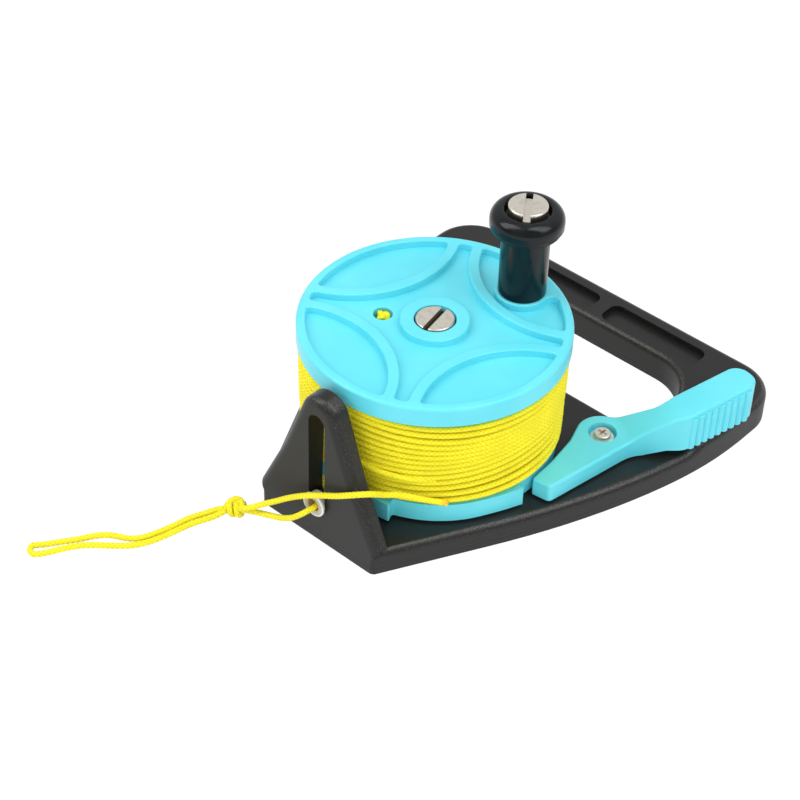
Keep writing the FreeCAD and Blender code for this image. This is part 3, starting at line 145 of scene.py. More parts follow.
def braided_tube(name, route, sides=16, relief=0.13 * MM, thickness=None, ends=True):
    """A tube along the route, with the braid in its surface and its own UV map:
    U is the place along the line in metres, V the place around it."""
    across, over = frames_along(route)
    along = np.concatenate(([0], np.cumsum(np.linalg.norm(np.diff(route, axis=0), axis=1))))
    around = np.arange(sides) / sides
    radius = LINE / 2 - relief * (1 - braid_height(along[:, None], around[None]))
    if thickness is not None:
        radius = radius * np.asarray(thickness)[:, None]
    angle = 2 * np.pi * around
    ring = (np.cos(angle)[None, :, None] * across[:, None] + np.sin(angle)[None, :, None] * over[:, None])
    points = route[:, None] + ring * radius[:, :, None]
    count = len(route)
    index = np.arange(count * sides).reshape(count, sides)
    following = np.roll(index, -1, axis=1)
    quads = np.stack((index[:-1], following[:-1], following[1:], index[1:]), -1).reshape(-1, 4)
    faces = quads.tolist()
    if ends:
        faces += [index[0][::-1].tolist(), index[-1].tolist()]
    mesh = bpy.data.meshes.new(name)
    mesh.from_pydata(points.reshape(-1, 3).tolist(), [], faces)
    layer = mesh.uv_layers.new(name="braid")
    far = around + 1 / sides
    low_u = np.broadcast_to(along[:-1, None], (count - 1, sides))
    high_u = np.broadcast_to(along[1:, None], (count - 1, sides))
    near_v = np.broadcast_to(around, (count - 1, sides))
    far_v = np.broadcast_to(far, (count - 1, sides))
    corners = np.stack((low_u, near_v, low_u, far_v, high_u, far_v, high_u, near_v), -1)
    values = np.zeros(len(mesh.loops) * 2)
    values[: corners.size] = corners.reshape(-1)
    layer.data.foreach_set("uv", values)
    mesh.shade_smooth()
    tube = bpy.data.objects.new(name, mesh)
    bpy.context.scene.collection.objects.link(tube)
    print(f"{name}: {route_length(route) * 1000:.0f} mm long, {len(mesh.polygons) * 2} triangles")
    return tube


# %% [markdown]
# The free end of the line comes out of the eyelet, runs down to a knot, and makes
# the small hand loop that lies on the table. A short end goes back from the knot,
# over the line guide, and ends beside the winding in a melted bead. The line's
# length is what the photograph shows of it, from the eyelet to the loop.

# %% Routes of the free line
EYE = (0.8, -60.8, 16.8)
LEAD_POINTS = [
    (-26.5, -40.0, 22.0), (-21.8, -44.0, 21.8), (-16.2, -47.0, 21.0),
    (-9.4, -49.4, 19.6), (-3.9, -50.6, 18.3), (-0.7, -52.8, 17.3), (0.8, -57.0, 16.8), EYE,
]
LEADER_POINTS = [
    EYE, (-0.2, -63.8, 16.0), (-2.2, -65.3, 14.0), (-5.4, -65.9, 10.9), (-9.8, -65.8, 7.9),
    (-14.4, -65.9, 5.8), (-19.2, -66.5, 4.4), (-23.0, -67.6, 3.6), (-25.8, -68.9, 3.5),
]
TAG_POINTS = [
    (-26.2, -70.9, 5.2), (-22.9, -69.2, 6.2), (-18.7, -66.6, 9.3), (-13.8, -64.2, 12.4),
    (-8.9, -63.3, 16.6), (-1.4, -62.8, 22.2), (5.1, -61.8, 25.7), (11.0, -60.9, 28.6),
    (16.0, -60.8, 32.1), (20.2, -59.6, 34.4), (22.6, -56.6, 34.2), (22.9, -53.2, 31.8),
    (23.2, -49.6, 29.4), (25.0, -45.7, 28.0), (28.6, -41.4, 26.1), (32.5, -37.4, 24.3),
    (35.4, -34.4, 23.5),
]
ON_TABLE = 1.1
LOOP_POINTS = [
    (-31.9, -72.3, 2.6), (-34.1, -74.6, 2.0), (-36.4, -78.6, ON_TABLE), (-38.5, -83.4, ON_TABLE),
    (-39.4, -89.2, ON_TABLE), (-40.9, -95.2, ON_TABLE), (-42.5, -100.2, ON_TABLE),
    (-45.0, -104.0, ON_TABLE), (-48.8, -106.2, ON_TABLE), (-53.0, -108.4, ON_TABLE),
    (-56.2, -112.7, ON_TABLE), (-58.7, -117.4, ON_TABLE), (-61.7, -121.5, ON_TABLE),
    (-65.1, -126.9, ON_TABLE), (-68.4, -130.3, ON_TABLE), (-64.6, -133.2, ON_TABLE),
    (-61.7, -129.4, ON_TABLE), (-59.2, -124.2, ON_TABLE), (-56.3, -119.2, ON_TABLE),
    (-53.3, -115.8, ON_TABLE), (-49.2, -112.3, ON_TABLE), (-45.4, -109.0, ON_TABLE),
    (-42.5, -105.9, ON_TABLE), (-40.0, -101.4, ON_TABLE), (-38.2, -95.8, ON_TABLE),
    (-37.0, -89.9, ON_TABLE), (-35.7, -84.2, ON_TABLE), (-33.7, -79.6, ON_TABLE),
    (-31.7, -76.0, 1.9), (-30.8, -72.9, 2.6),
]


def free_line(name, points, node):
    route = along_route(points)
    tube = braided_tube(name, route)
    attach(tube, "frame")
    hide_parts(node)
    return tube


leader = free_line("leader_braid", LEADER_POINTS, "line_leader")
tag = free_line("tag_braid", TAG_POINTS, "line_tag")
loop = free_line("loop_braid", LOOP_POINTS, "line_loop")

# %% [markdown]
# Behind the guide the line runs from the winding to the eyelet. It is held at both
# of its ends, so it is a piece of the reel and no free cord.

# %% The line from the winding to the eyelet
lead = braided_tube("lead_braid", along_route(LEAD_POINTS))
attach(lead, "frame")
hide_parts("line_lead")

# %% [markdown]
# The knot is a bight tied on itself: two turns of line round the strands that go
# through it, with one strand laid across the turns. It is one route that winds
# round the knot's own axis. The route is worked out as a helix, with the ends
# tucked in towards the axis.

# %% Loop knot
KNOT_REAR = Vector((-25.3, -68.9, 3.9))
KNOT_FRONT = Vector((-31.4, -72.0, 2.9))
knot_way = (KNOT_FRONT - KNOT_REAR).normalized()
knot_side = knot_way.cross(Vector((0, 0, 1))).normalized()
knot_over = knot_side.cross(knot_way)


def round_knot(along, angle, radius):
    """A point at this share of the knot's length, this angle round it and this far out."""
    centre = KNOT_REAR.lerp(KNOT_FRONT, along)
    angle = math.radians(angle)
    return centre + (knot_side * math.cos(angle) + knot_over * math.sin(angle)) * radius


KNOT_TURNS = [
    (0.05, 200, 0.6), (0.02, 150, 1.9), (0.08, 90, 2.45), (0.14, 25, 2.45), (0.2, -40, 2.45),
    (0.25, -105, 2.4), (0.3, -170, 2.45), (0.36, -235, 2.45), (0.43, -300, 2.45),
    (0.5, -365, 2.45), (0.57, -430, 2.4), (0.63, -495, 2.45), (0.7, -560, 2.45),
    (0.76, -625, 2.3), (0.84, -690, 1.9), (0.9, -740, 1.2), (0.96, -790, 0.6),
]
KNOT_CROSSING = [
    (0.1, 120, 1.0), (0.12, 75, 2.3), (0.3, 50, 3.3), (0.5, 60, 3.6), (0.7, 80, 3.2),
    (0.88, 110, 2.2), (0.97, 150, 1.0),
]
knot_turns = braided_tube("knot_turns", along_route([round_knot(*p) for p in KNOT_TURNS]))
knot_crossing = braided_tube("knot_crossing", along_route([round_knot(*p) for p in KNOT_CROSSING]))
KNOT_CORE = [
    (-24.6, -68.3, 3.6), (-26.2, -69.4, 4.2), (-28.4, -70.6, 3.8), (-30.6, -71.6, 3.0),
    (-32.4, -73.0, 2.6),
]
knot_core = braided_tube("knot_core", along_route(KNOT_CORE))
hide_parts("loop_knot")
for piece in (knot_turns, knot_crossing, knot_core):
    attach(piece, "frame")

# %% [markdown]
# The cut end of the line is melted so that it can't fray. The melt is a small
# amber bead, a bit wider than the line and drawn out where the hot end was pulled.

# %% Melted end
TAG_END = Vector((35.9, -33.9, 23.4)) * MM
DENT = 0.09


def pressed_ball(name, centre, radius, stretch, way):
    """A bead, wider in one direction and dented where it was pressed while soft."""
    bpy.ops.object.select_all(action="DESELECT")
    bpy.ops.mesh.primitive_ico_sphere_add(subdivisions=4, radius=radius, location=centre)
    bead = bpy.context.object
    bead.name = name
    bpy.ops.object.transform_apply(location=True, rotation=True, scale=True)
    direction = Vector(way).normalized()
    for vertex in bead.data.vertices:
        away = vertex.co - centre
        along = away.dot(direction)
        vertex.co += direction * along * (stretch - 1)
        dent = DENT * math.sin(9 * away.x / radius + 2) * math.sin(7 * away.z / radius)
        vertex.co += away * dent
    bead.data.shade_smooth()
    return bead


melted_end = pressed_ball("melted_end", TAG_END, 1.25 * MM, 1.15, (2.9, 3.0, -0.8))
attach(melted_end, "frame")
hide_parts("tag_tip")

# %% [markdown]
# The line on the spool was wound under a light pull. Each layer goes up or down the
# drum in turns that lie side by side, and wanders a little, as a hand that guides
# it does. At the right front the rows are pushed up towards the upper flange. A
# strand lies in the groove between two older ones or rides over one, so its distance
# from the axle comes from what is already there. A taut line can't drop into a
# narrow gap, which the smoothing along its length stands for. One strand was pushed
# out of its row at the front and lies across two others.

# %% Lay the winding
STEPS = 240
WIND_LOW = 18.25 * MM + LINE / 2
WIND_HIGH = 55.75 * MM - LINE / 2
OUTER_LOW = 45.6 * MM
OUTER_HIGH = 46.3 * MM
PRESSED = 0.96
SMOOTHED = 9
FIRST_ANGLE = 200
LIFT = 2.9 * MM
LIFT_FROM = -62
LIFT_TO = 120
LIFT_RISE = 75


def wander(turns, amounts):
    """How far the line strays from even turns, for each count of turns made."""
    total = np.zeros_like(turns)
    for size, per_turn, phase in amounts:
        total += size * MM * np.sin(2 * np.pi * per_turn * turns + phase)
    return total


def lift(turns, share):
    """How far the rows are pushed up at the right front, most at half height."""
    angle = (FIRST_ANGLE + 360 * turns + 180) % 360 - 180
    rise = np.clip((angle - LIFT_FROM) / LIFT_RISE, 0, 1)
    fall = np.clip((LIFT_TO - angle) / LIFT_RISE, 0, 1)
    near = np.minimum(rise, fall)
    return LIFT * near**2 * (3 - 2 * near) * np.sin(math.pi * share)


def floor_radius(height, inward):
    share = (height - WIND_LOW) / (WIND_HIGH - WIND_LOW)
    return OUTER_LOW + share * (OUTER_HIGH - OUTER_LOW) - inward


def lay_layer(turns, upwards, inward, amounts, older):
    """Heights and radii along one layer of the line, over the layers below it."""
    made = np.arange(int(turns * STEPS) + 1) / STEPS
    share = made / turns
    if not upwards:
        share = 1 - share
    height = WIND_LOW + share * (WIND_HIGH - WIND_LOW)
    edge = np.clip(np.minimum(share, 1 - share) * 6, 0, 1)
    height = height + wander(made, amounts) * edge + lift(made, share)
    radius = floor_radius(height, inward)
    columns = (np.round(made * STEPS).astype(int)) % STEPS
    for old_height, old_radius, old_columns in older:
        for column in range(STEPS):
            here = columns == column
            there = old_columns == column
            apart = np.abs(height[here][:, None] - old_height[there][None])
            reach = (PRESSED * LINE) ** 2 - apart**2
            over = old_radius[there][None] + np.sqrt(np.maximum(reach, 0))
            over = np.where(reach > 0, over, 0)
            radius[here] = np.maximum(radius[here], over.max(axis=1))
    padded = np.pad(radius, SMOOTHED, mode="edge")
    highest = np.max([padded[k: k + len(radius)] for k in range(2 * SMOOTHED + 1)], axis=0)
    taut = 0.5 * (highest + radius)
    weights = np.hanning(2 * SMOOTHED + 3)[1:-1]
    weights /= weights.sum()
    padded = np.pad(taut, SMOOTHED, mode="edge")
    radius = np.convolve(padded, weights, mode="valid")
    return height, radius, columns, made


under = lay_layer(15.0, True, 1.9 * MM, [(0.35, 0.93, 0.4), (0.2, 2.06, 2)], [])
over = lay_layer(14.0, False, 0.3 * MM, [(1.0, 1.07, 1.2), (0.45, 1.93, 0.3), (0.25, 3.05, 2.2)],
                 [under[:3]])
outer_radii = [round(float(edge(over[1]) + LINE / 2) / MM, 2) for edge in (np.min, np.max)]
print("outer radius from", outer_radii[0], "to", outer_radii[1])


def wound_route(layer):
    height, radius, columns, made = layer
    angle = np.radians(FIRST_ANGLE) + 2 * np.pi * made
    return np.stack((radius * np.cos(angle), radius * np.sin(angle), height), -1)


winding_under = braided_tube("winding_under", wound_route(under), sides=8, relief=0.1 * MM)
winding_over = braided_tube("winding_over", wound_route(over), sides=12, relief=0.12 * MM)
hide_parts("line_core")
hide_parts("line_winding")

# Angle round the axle, height and distance from the axle of the stray strand
STRAY = [
    (-93, 34.9, 45.6), (-86, 33.9, 46.9), (-79.5, 33.2, 47.7), (-70.3, 32.5, 47.9),
    (-61, 31.7, 47.5), (-54, 31.1, 46.7), (-47, 30.6, 45.6),
]
stray_strand = braided_tube("stray_strand", along_route([
    (radius * math.cos(math.radians(angle)), radius * math.sin(math.radians(angle)), height)
    for angle, height, radius in STRAY]))
for piece in (winding_under, winding_over, stray_strand):
    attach(piece, "spool")

# %% [markdown]
# Below the two modelled layers lies the rest of the line. Only a little of it shows
# between the strands, so it is a plain drum that is turned in edit mode from one
# profile, ridged like the rows under it. Its dark amber colour, darker between the
# rows, is painted shade.

# %% Inner windings
DRUM_INNER = 15.2 * MM
DRUM_OUTER = 43.5 * MM
DRUM_LOW = 18.4 * MM
DRUM_HIGH = 55.6 * MM
RIDGE = 0.45 * MM


def turned_drum(name, inner, outer, low, high, rows):
    """A ring with a ridge for each row of line, spun round the axle."""
    bpy.ops.object.select_all(action="DESELECT")
    mesh = bpy.data.meshes.new(name)
    drum = bpy.data.objects.new(name, mesh)
    bpy.context.scene.collection.objects.link(drum)
    profile = bmesh.new()
    heights = np.linspace(low, high, rows * 4 + 1)
    wave = outer - RIDGE * np.abs(np.cos(np.pi * rows * (heights - low) / (high - low)))
    corners = [(inner, low)] + list(zip(wave, heights)) + [(inner, high)]
    ring = [profile.verts.new((x, 0, z)) for x, z in corners]
    for k, vertex in enumerate(ring):
        profile.edges.new((vertex, ring[(k + 1) % len(ring)]))
    profile.to_mesh(mesh)
    profile.free()
    bpy.context.view_layer.objects.active = drum
    drum.select_set(True)
    bpy.ops.object.mode_set(mode="EDIT")
    bpy.ops.mesh.select_all(action="SELECT")
    bpy.ops.mesh.spin(steps=180, angle=2 * math.pi, center=(0, 0, 0), axis=(0, 0, 1))
    bpy.ops.mesh.select_all(action="SELECT")
    bpy.ops.mesh.remove_doubles(threshold=1e-5)
    bpy.ops.mesh.normals_make_consistent(inside=False)
    bpy.ops.object.mode_set(mode="OBJECT")
    mesh.shade_smooth()
    print(f"{name}: {len(mesh.polygons)} faces")
    return drum


inner_windings = turned_drum("inner_windings", DRUM_INNER, DRUM_OUTER, DRUM_LOW, DRUM_HIGH, 16)
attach(inner_windings, "spool")

# %% [markdown]
# The other end of the line goes up through a hole in the upper flange and is held
# there by a small knot, of which the photograph shows the top. It is a trefoil, the
# plainest knot there is, whose route closes on itself.

# %% Anchor knot
anchor_low, anchor_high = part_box("line_anchor_knot")
anchor_centre = (anchor_low + anchor_high) / 2
ANCHOR_STEPS = 220
anchor_angle = np.linspace(0, 2 * np.pi, ANCHOR_STEPS)
ANCHOR_SIZE = 0.56 * MM
ANCHOR_LIFT = Vector((0, 0, 0.9)) * MM
trefoil = np.stack((
    np.sin(anchor_angle) + 2 * np.sin(2 * anchor_angle),
    np.cos(anchor_angle) - 2 * np.cos(2 * anchor_angle),
    -1.25 * np.sin(3 * anchor_angle),
), -1) * ANCHOR_SIZE + np.array(anchor_centre + ANCHOR_LIFT)
anchor_knot = braided_tube("anchor_knot", trefoil, thickness=np.full(ANCHOR_STEPS, 0.9))
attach(anchor_knot, "spool")
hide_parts("line_anchor_knot")

# %% [markdown]
# Materials are written as sums. A Tone is one output of a node, and adding to it or
# multiplying it adds a Math node. A Finish is a material being made. Its one method
# `node` makes every other node, from its settings and its sockets' values.

# %% Tone and Finish


class Tone:
    """A number that varies over a surface, with Python's own operators."""

    def __init__(self, finish, socket):
        self.finish = finish
        self.socket = socket

    def math(self, operation, first, second=0.5, third=0.5):
        values = {0: first, 1: second, 2: third}
        return self.finish.node("ShaderNodeMath", {"operation": operation}, values)

    def __add__(self, other):
        return self.math("ADD", self, other)

    def __radd__(self, other):
        return self.math("ADD", other, self)

    def __sub__(self, other):
        return self.math("SUBTRACT", self, other)

    def __rsub__(self, other):
        return self.math("SUBTRACT", other, self)

    def __mul__(self, other):
        return self.math("MULTIPLY", self, other)

    def __rmul__(self, other):
        return self.math("MULTIPLY", other, self)

    def __pow__(self, other):
        return self.math("POWER", self, other)

    def __mod__(self, other):
        return self.math("FLOORED_MODULO", self, other)

    def __abs__(self):
        return self.math("ABSOLUTE", self)

    def sine(self):
        return self.math("SINE", self)

    def floor(self):
        return self.math("FLOOR", self)

    def between(self, low, high):
        """0 below low, 1 above high and a soft step between them."""
        settings = {"interpolation_type": "SMOOTHSTEP"}
        sockets = {"Value": self, "From Min": low, "From Max": high}
        return self.finish.node("ShaderNodeMapRange", settings, sockets)


class Finish:
    """A material in the making. Its shader's plain values are set by name."""

    def __init__(self, name, **plain):
        self.material = bpy.data.materials.new(name)
        self.material.use_nodes = True
        self.tree = self.material.node_tree
        self.shader = self.tree.nodes["Principled BSDF"]
        for socket, value in plain.items():
            self.put(self.shader.inputs[socket.replace("_", " ")], value)

    def put(self, socket, value):
        if isinstance(value, Tone):
            self.tree.links.new(value.socket, socket)
        elif socket.type == "RGBA" and len(value) == 3:
            socket.default_value = (*value, 1)
        else:
            socket.default_value = value

    def node(self, kind, settings, sockets, output=0):
        made = self.tree.nodes.new(kind)
        for name, value in settings.items():
            if name == "stops":
                self.ramp(made.color_ramp, value)
            else:
                setattr(made, name, value)
        for name, value in sockets.items():
            self.put(made.inputs[name], value)
        return Tone(self, made.outputs[output])

    def ramp(self, ramp, stops):
        while len(ramp.elements) < len(stops):
            ramp.elements.new(0.5)
        for element, (place, colour) in zip(ramp.elements, stops):
            element.position = place
            element.color = (*colour, 1)

    def place(self):
        return self.node("ShaderNodeTexCoord", {}, {}, "Object")

    def part_of(self, vector, name):
        return self.node("ShaderNodeSeparateXYZ", {}, {"Vector": vector}, name)

    def grain(self, size, detail=3.0, roughness=0.5, vector=None):
        """Cloudy noise with grains about this big, in metres, from 0 to 1."""
        sockets = {"Scale": 1 / size, "Detail": detail, "Roughness": roughness,
                   "Vector": vector or self.place()}
        return self.node("ShaderNodeTexNoise", {}, sockets, "Fac")

    def mix(self, share, first, second):
        """A colour between two colours."""
        return self.node("ShaderNodeMix", {"data_type": "RGBA"}, {0: share, 6: first, 7: second}, 2)

    def set(self, **sockets):
        for name, value in sockets.items():
            self.put(self.shader.inputs[name.replace("_", " ")], value)

    def bump(self, height, depth, strength=1.0, under=None):
        """Relief of this depth in metres on the shader's normal."""
        sockets = {"Height": height, "Distance": depth, "Strength": strength}
        if under is not None:
            sockets["Normal"] = under
        return self.node("ShaderNodeBump", {}, sockets, "Normal")


# %% [markdown]
# The turquoise parts are moulded plastic, a little see-through at thin edges. The
# skin is smooth with a faint ripple from the mould and the finest scratches from
# handling, and the colour is not quite even.

# %% Turquoise plastic
TURQUOISE = (0.15, 0.76, 0.88)
TURQUOISE_DEEP = (0.12, 0.71, 0.83)


def turquoise_plastic(name):
    finish = Finish(name, IOR=1.5, Subsurface_Weight=0.08, Subsurface_Radius=(0.6, 1.0, 1.2),
                    Subsurface_Scale=0.002)
    cloud = finish.grain(22 * MM, 2.0)
    fine = finish.grain(0.35 * MM, 2.0)
    rub = finish.grain(3.2 * MM, 5.0, 0.7)
    finish.set(
        Base_Color=finish.mix(cloud.between(0.3, 0.75), TURQUOISE_DEEP, TURQUOISE),
        Roughness=0.3 + 0.1 * rub.between(0.35, 0.7) + 0.04 * fine,
        Normal=finish.bump(fine * 0.5 + finish.grain(2.4 * MM, 1.0) * 0.5, 0.02 * MM, 0.35))
    return finish.material


turquoise = turquoise_plastic("turquoise_plastic")

# %% [markdown]
# The plate, grip and line guide are one black moulding. Its flat faces are nearly
# glossy, the rounded edges carry a fine bright grain with some painted highlight in
# it, and the upright walls are satin. A band of the shoulders that tilt up towards the
# light is painted lighter, a painted highlight. Which face is meant is read from the
# direction that the surface faces. The mould's parting line runs round the plate's
# wall, a little above the table.

# %% Black moulding
BLACK = (0.013, 0.013, 0.013)
# Lighter black for the edge grain and for the painted highlight on the shoulders
BLACK_WORN_AND_HIGHLIT = (0.075, 0.075, 0.07)
PARTING = 2.9 * MM


def black_moulding():
    finish = Finish("black_moulding", IOR=1.5, Specular_IOR_Level=0.34)
    facing = finish.node("ShaderNodeTexCoord", {}, {}, "Normal")
    up = finish.part_of(facing, "Z")
    flat = abs(up).between(0.985, 0.999)
    upright = 1 - abs(up).between(0.08, 0.3)
    edge = (1 - flat) * (1 - upright)
    # Painted highlight: faces that tilt up towards the light below the flat top
    shoulder_highlight = up.between(0.55, 0.8) * (1 - up.between(0.93, 0.985))
    grain = finish.grain(0.55 * MM, 4.0, 0.7)
    fine = finish.grain(0.35 * MM, 2.0)
    cloud = finish.grain(14 * MM, 3.0)
    # Lighter grain on the edges, partly real grain and partly painted highlight
    grain_and_highlight = grain.between(0.5, 0.75) * edge + 1.1 * shoulder_highlight * fine.between(0.45, 0.62)
    away = abs(finish.part_of(finish.place(), "Z") - PARTING)
    parting = (1 - away.between(0.1 * MM, 0.28 * MM)) * upright
    finish.set(
        Base_Color=finish.mix(grain_and_highlight * 0.9 + 0.1 * cloud, BLACK, BLACK_WORN_AND_HIGHLIT),
        Roughness=0.3 * flat + 0.44 * upright + edge * (0.42 - 0.14 * grain - 0.1 * shoulder_highlight) + 0.06 * cloud,
        Normal=finish.bump(grain * (0.15 + edge) + fine * 0.2 - 2 * parting, 0.09 * MM, 0.6))
    return finish.material


black_plastic = black_moulding()

# %% [markdown]
# The knob is turned from glossy black plastic. Fine turning lines round its axis
# stretch the reflections, and dust and finger marks dull it in patches.

# %% Gloss black knob
TURNING = 0.3 * MM


def glossy_black():
    finish = Finish("gloss_black", IOR=1.5, Specular_IOR_Level=0.33)
    marks = finish.grain(5 * MM, 4.0, 0.6)
    height = finish.part_of(finish.place(), "Z")
    turning = (height * (2 * math.pi / TURNING)).sine()
    finish.set(
        Base_Color=finish.mix(marks.between(0.4, 0.8), (0.003, 0.005, 0.006), (0.008, 0.01, 0.011)),
        Roughness=0.14 + 0.12 * marks.between(0.45, 0.7),
        Normal=finish.bump(turning * 0.5 + finish.grain(1.5 * MM) * 0.5, 0.01 * MM, 0.3))
    return finish.material


knob_black = glossy_black()

# %% [markdown]
# The screws are nickel plated. Their faces were turned on a lathe, which leaves
# rings round the axis and a brushed look, with a few darker marks from a driver.
# The axle screw is dark brown below the height of its slot's floor.

# %% Nickel and the other metals


def turned_metal(name, colour, dull, centre, roughness, slot_floor=0.0, ring=0.22 * MM):
    """Plated metal with turning rings round an upright axis through a point, and dark
    brown below the height of a driver slot's floor."""
    finish = Finish(name, IOR=2.2)
    place = finish.node("ShaderNodeMapping", {"vector_type": "POINT"}, {
        "Vector": finish.place(), "Location": (-centre.x, -centre.y, 0)})
    across = finish.part_of(place, "X")
    deep = finish.part_of(place, "Y")
    away = (across * across + deep * deep) ** 0.5
    rings = (away * (2 * math.pi / ring)).sine()
    brushed = finish.grain(0.6 * MM, 5.0, 0.65)
    spots = finish.grain(2.2 * MM, 4.0, 0.6)
    height = finish.part_of(finish.place(), "Z")
    # Dark brown below the slot's floor, plated metal above it
    above_slot_floor = height.between(slot_floor, slot_floor + 0.3 * MM)
    plated = finish.mix(spots.between(0.42, 0.72), colour, dull)
    finish.set(
        Base_Color=finish.mix(above_slot_floor, SLOT_FLOOR_BROWN, plated),
        Metallic=1.0,
        Roughness=roughness + 0.12 * brushed,
        Normal=finish.bump(rings * 0.5 + brushed * 0.6, 0.012 * MM, 0.5))
    return finish.material


NICKEL = (0.86, 0.81, 0.72)
NICKEL_DULL = (0.72, 0.67, 0.58)
SLOT_FLOOR_BROWN = (0.09, 0.08, 0.05)
STEEL = (0.52, 0.52, 0.52)
STEEL_DULL = (0.38, 0.37, 0.36)
BRASS = (0.75, 0.56, 0.24)
BRASS_DULL = (0.55, 0.4, 0.18)
AXLE_SLOT_DEPTH = 1.9 * MM


def centre_of(node):
    low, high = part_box(node)
    return (low + high) / 2


def under_top(node, depth):
    """The height that lies this far under the node's top."""
    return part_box(node)[1].z - depth


axle_nickel = turned_metal("axle_nickel", NICKEL, NICKEL_DULL, centre_of("axle_screw"), 0.3,
                           under_top("axle_screw", AXLE_SLOT_DEPTH))
knob_nickel = turned_metal("knob_nickel", NICKEL, NICKEL_DULL, centre_of("knob_screw"), 0.28)
screw_nickel = turned_metal("screw_nickel", NICKEL, NICKEL_DULL, centre_of("spool_screws"), 0.3)
lever_nickel = turned_metal("lever_nickel", NICKEL, NICKEL_DULL, centre_of("lever_screw"), 0.26)
spring_steel = turned_metal("spring_steel", STEEL, STEEL_DULL, centre_of("lever_spring"), 0.3)
brass = turned_metal("brass", BRASS, BRASS_DULL, centre_of("axle_insert"), 0.3)

# %% [markdown]
# The eyelet is white plastic, painted as a shaded pale ring with a white painted
# highlight on its rim and tinted amber round its bore.
# The bearing rings are a duller, slightly waxy plastic.

# %% White and bearing plastics
eyelet_axis = centre_of("line_eyelet")
# Painted shade on the ring's face and painted highlight on its rim
SHADED_WHITE_RING = (0.5, 0.48, 0.41)
RIM_HIGHLIGHT = (0.86, 0.86, 0.84)
BORE_AMBER = (0.5, 0.34, 0.08)


def eyelet_white():
    finish = Finish("eyelet_white", IOR=1.5, Subsurface_Weight=0.15, Subsurface_Scale=0.002)
    place = finish.node("ShaderNodeMapping", {"vector_type": "POINT"}, {
        "Vector": finish.place(), "Location": (-eyelet_axis.x, 0, -eyelet_axis.z)})
    across = finish.part_of(place, "X")
    high = finish.part_of(place, "Z")
    away = (across * across + high * high) ** 0.5
    # Amber tint round the bore
    near_bore = 1 - away.between(2.4 * MM, 3.2 * MM)
    # Painted highlight on the outer rim
    rim_highlight = away.between(4.0 * MM, 4.4 * MM)
    ring = finish.mix(rim_highlight, SHADED_WHITE_RING, RIM_HIGHLIGHT)
    finish.set(
        Base_Color=finish.mix(near_bore * (0.6 + 0.4 * finish.grain(1.2 * MM)), ring, BORE_AMBER),
        Roughness=0.22 + 0.1 * finish.grain(1.0 * MM),
        Normal=finish.bump(finish.grain(0.8 * MM), 0.02 * MM, 0.3))
    return finish.material


def bearing_plastic():
    finish = Finish("bearing_plastic", IOR=1.48)
    cloud = finish.grain(3 * MM)
    finish.set(
        Base_Color=finish.mix(cloud, (0.7, 0.69, 0.65), (0.79, 0.78, 0.75)),
        Roughness=0.38 + 0.15 * cloud,
        Normal=finish.bump(finish.grain(0.4 * MM), 0.02 * MM, 0.3))
    return finish.material


eyelet_plastic = eyelet_white()
acetal = bearing_plastic()

# %% [markdown]
# The line's material repeats the braid of the tube's surface and adds the threads
# in each strand, which run along it. The grooves are painted amber, a painted shade
# for light that has passed through other yellow threads before it comes out.

# %% Braided line
LINE_LIT = (0.97, 0.96, 0.03)
LINE_GROOVE_SHADE = (0.93, 0.68, 0.01)


def braided_line(name, lit, deep):
    finish = Finish(name, IOR=1.46, Specular_IOR_Level=0.3)
    spot = finish.node("ShaderNodeUVMap", {"uv_map": "braid"}, {}, "UV")
    along = finish.part_of(spot, "X") * (1 / PICK)
    around = finish.part_of(spot, "Y") * STRANDS
    left = around + along
    right = around - along
    crown = abs((left * math.pi).sine() * (right * math.pi).sine())
    odd = (left.floor() + right.floor()) % 2
    thread_left = abs((left * (4 * math.pi)).sine())
    thread_right = abs((right * (4 * math.pi)).sine())
    threads = thread_left * odd + thread_right * (1 - odd)
    height = crown ** 0.5 + threads * 0.25
    fade = finish.grain(9 * MM, 2.0)
    # Painted shade: the grooves between strands are amber
    groove_shade = crown.between(0.0, 0.4) * (0.75 + 0.25 * threads)
    lively = finish.mix(fade.between(0.3, 0.7), lit, tuple(0.9 * c for c in lit))
    finish.set(
        Base_Color=finish.mix(groove_shade, deep, lively),
        Roughness=0.5 + 0.15 * threads,
        Normal=finish.bump(height, 0.14 * MM, 0.6))
    return finish.material


line_yellow = braided_line("braided_line", LINE_LIT, LINE_GROOVE_SHADE)


def amber_melt():
    finish = Finish("melted_line", IOR=1.5, Subsurface_Weight=0.4, Subsurface_Scale=0.001,
                    Subsurface_Radius=(1.0, 0.6, 0.1))
    cloud = finish.grain(0.9 * MM, 3.0)
    finish.set(
        Base_Color=finish.mix(cloud.between(0.3, 0.7), (0.92, 0.5, 0.012), (0.95, 0.66, 0.02)),
        Roughness=0.25 + 0.2 * cloud,
        Normal=finish.bump(cloud, 0.08 * MM, 0.5))
    return finish.material


amber = amber_melt()


def shaded_windings():
    finish = Finish("shaded_windings", IOR=1.46)
    height = finish.part_of(finish.place(), "Z")
    rows = abs((height * (math.pi / (2.3 * MM))).sine())
    cloud = finish.grain(2 * MM, 3.0)
    finish.set(
        # Painted shade: dark amber between the rows, lighter amber on them
        Base_Color=finish.mix(rows * 0.6 + cloud * 0.4, (0.5, 0.22, 0.004), (0.82, 0.6, 0.015)),
        Roughness=0.55 + 0.2 * cloud,
        Normal=finish.bump(cloud, 0.3 * MM, 0.6))
    return finish.material


shaded_inner_line = shaded_windings()

# %% [markdown]
# Each piece gets its finish. A CAD node keeps its mesh, and only the material in
# its slot is changed.

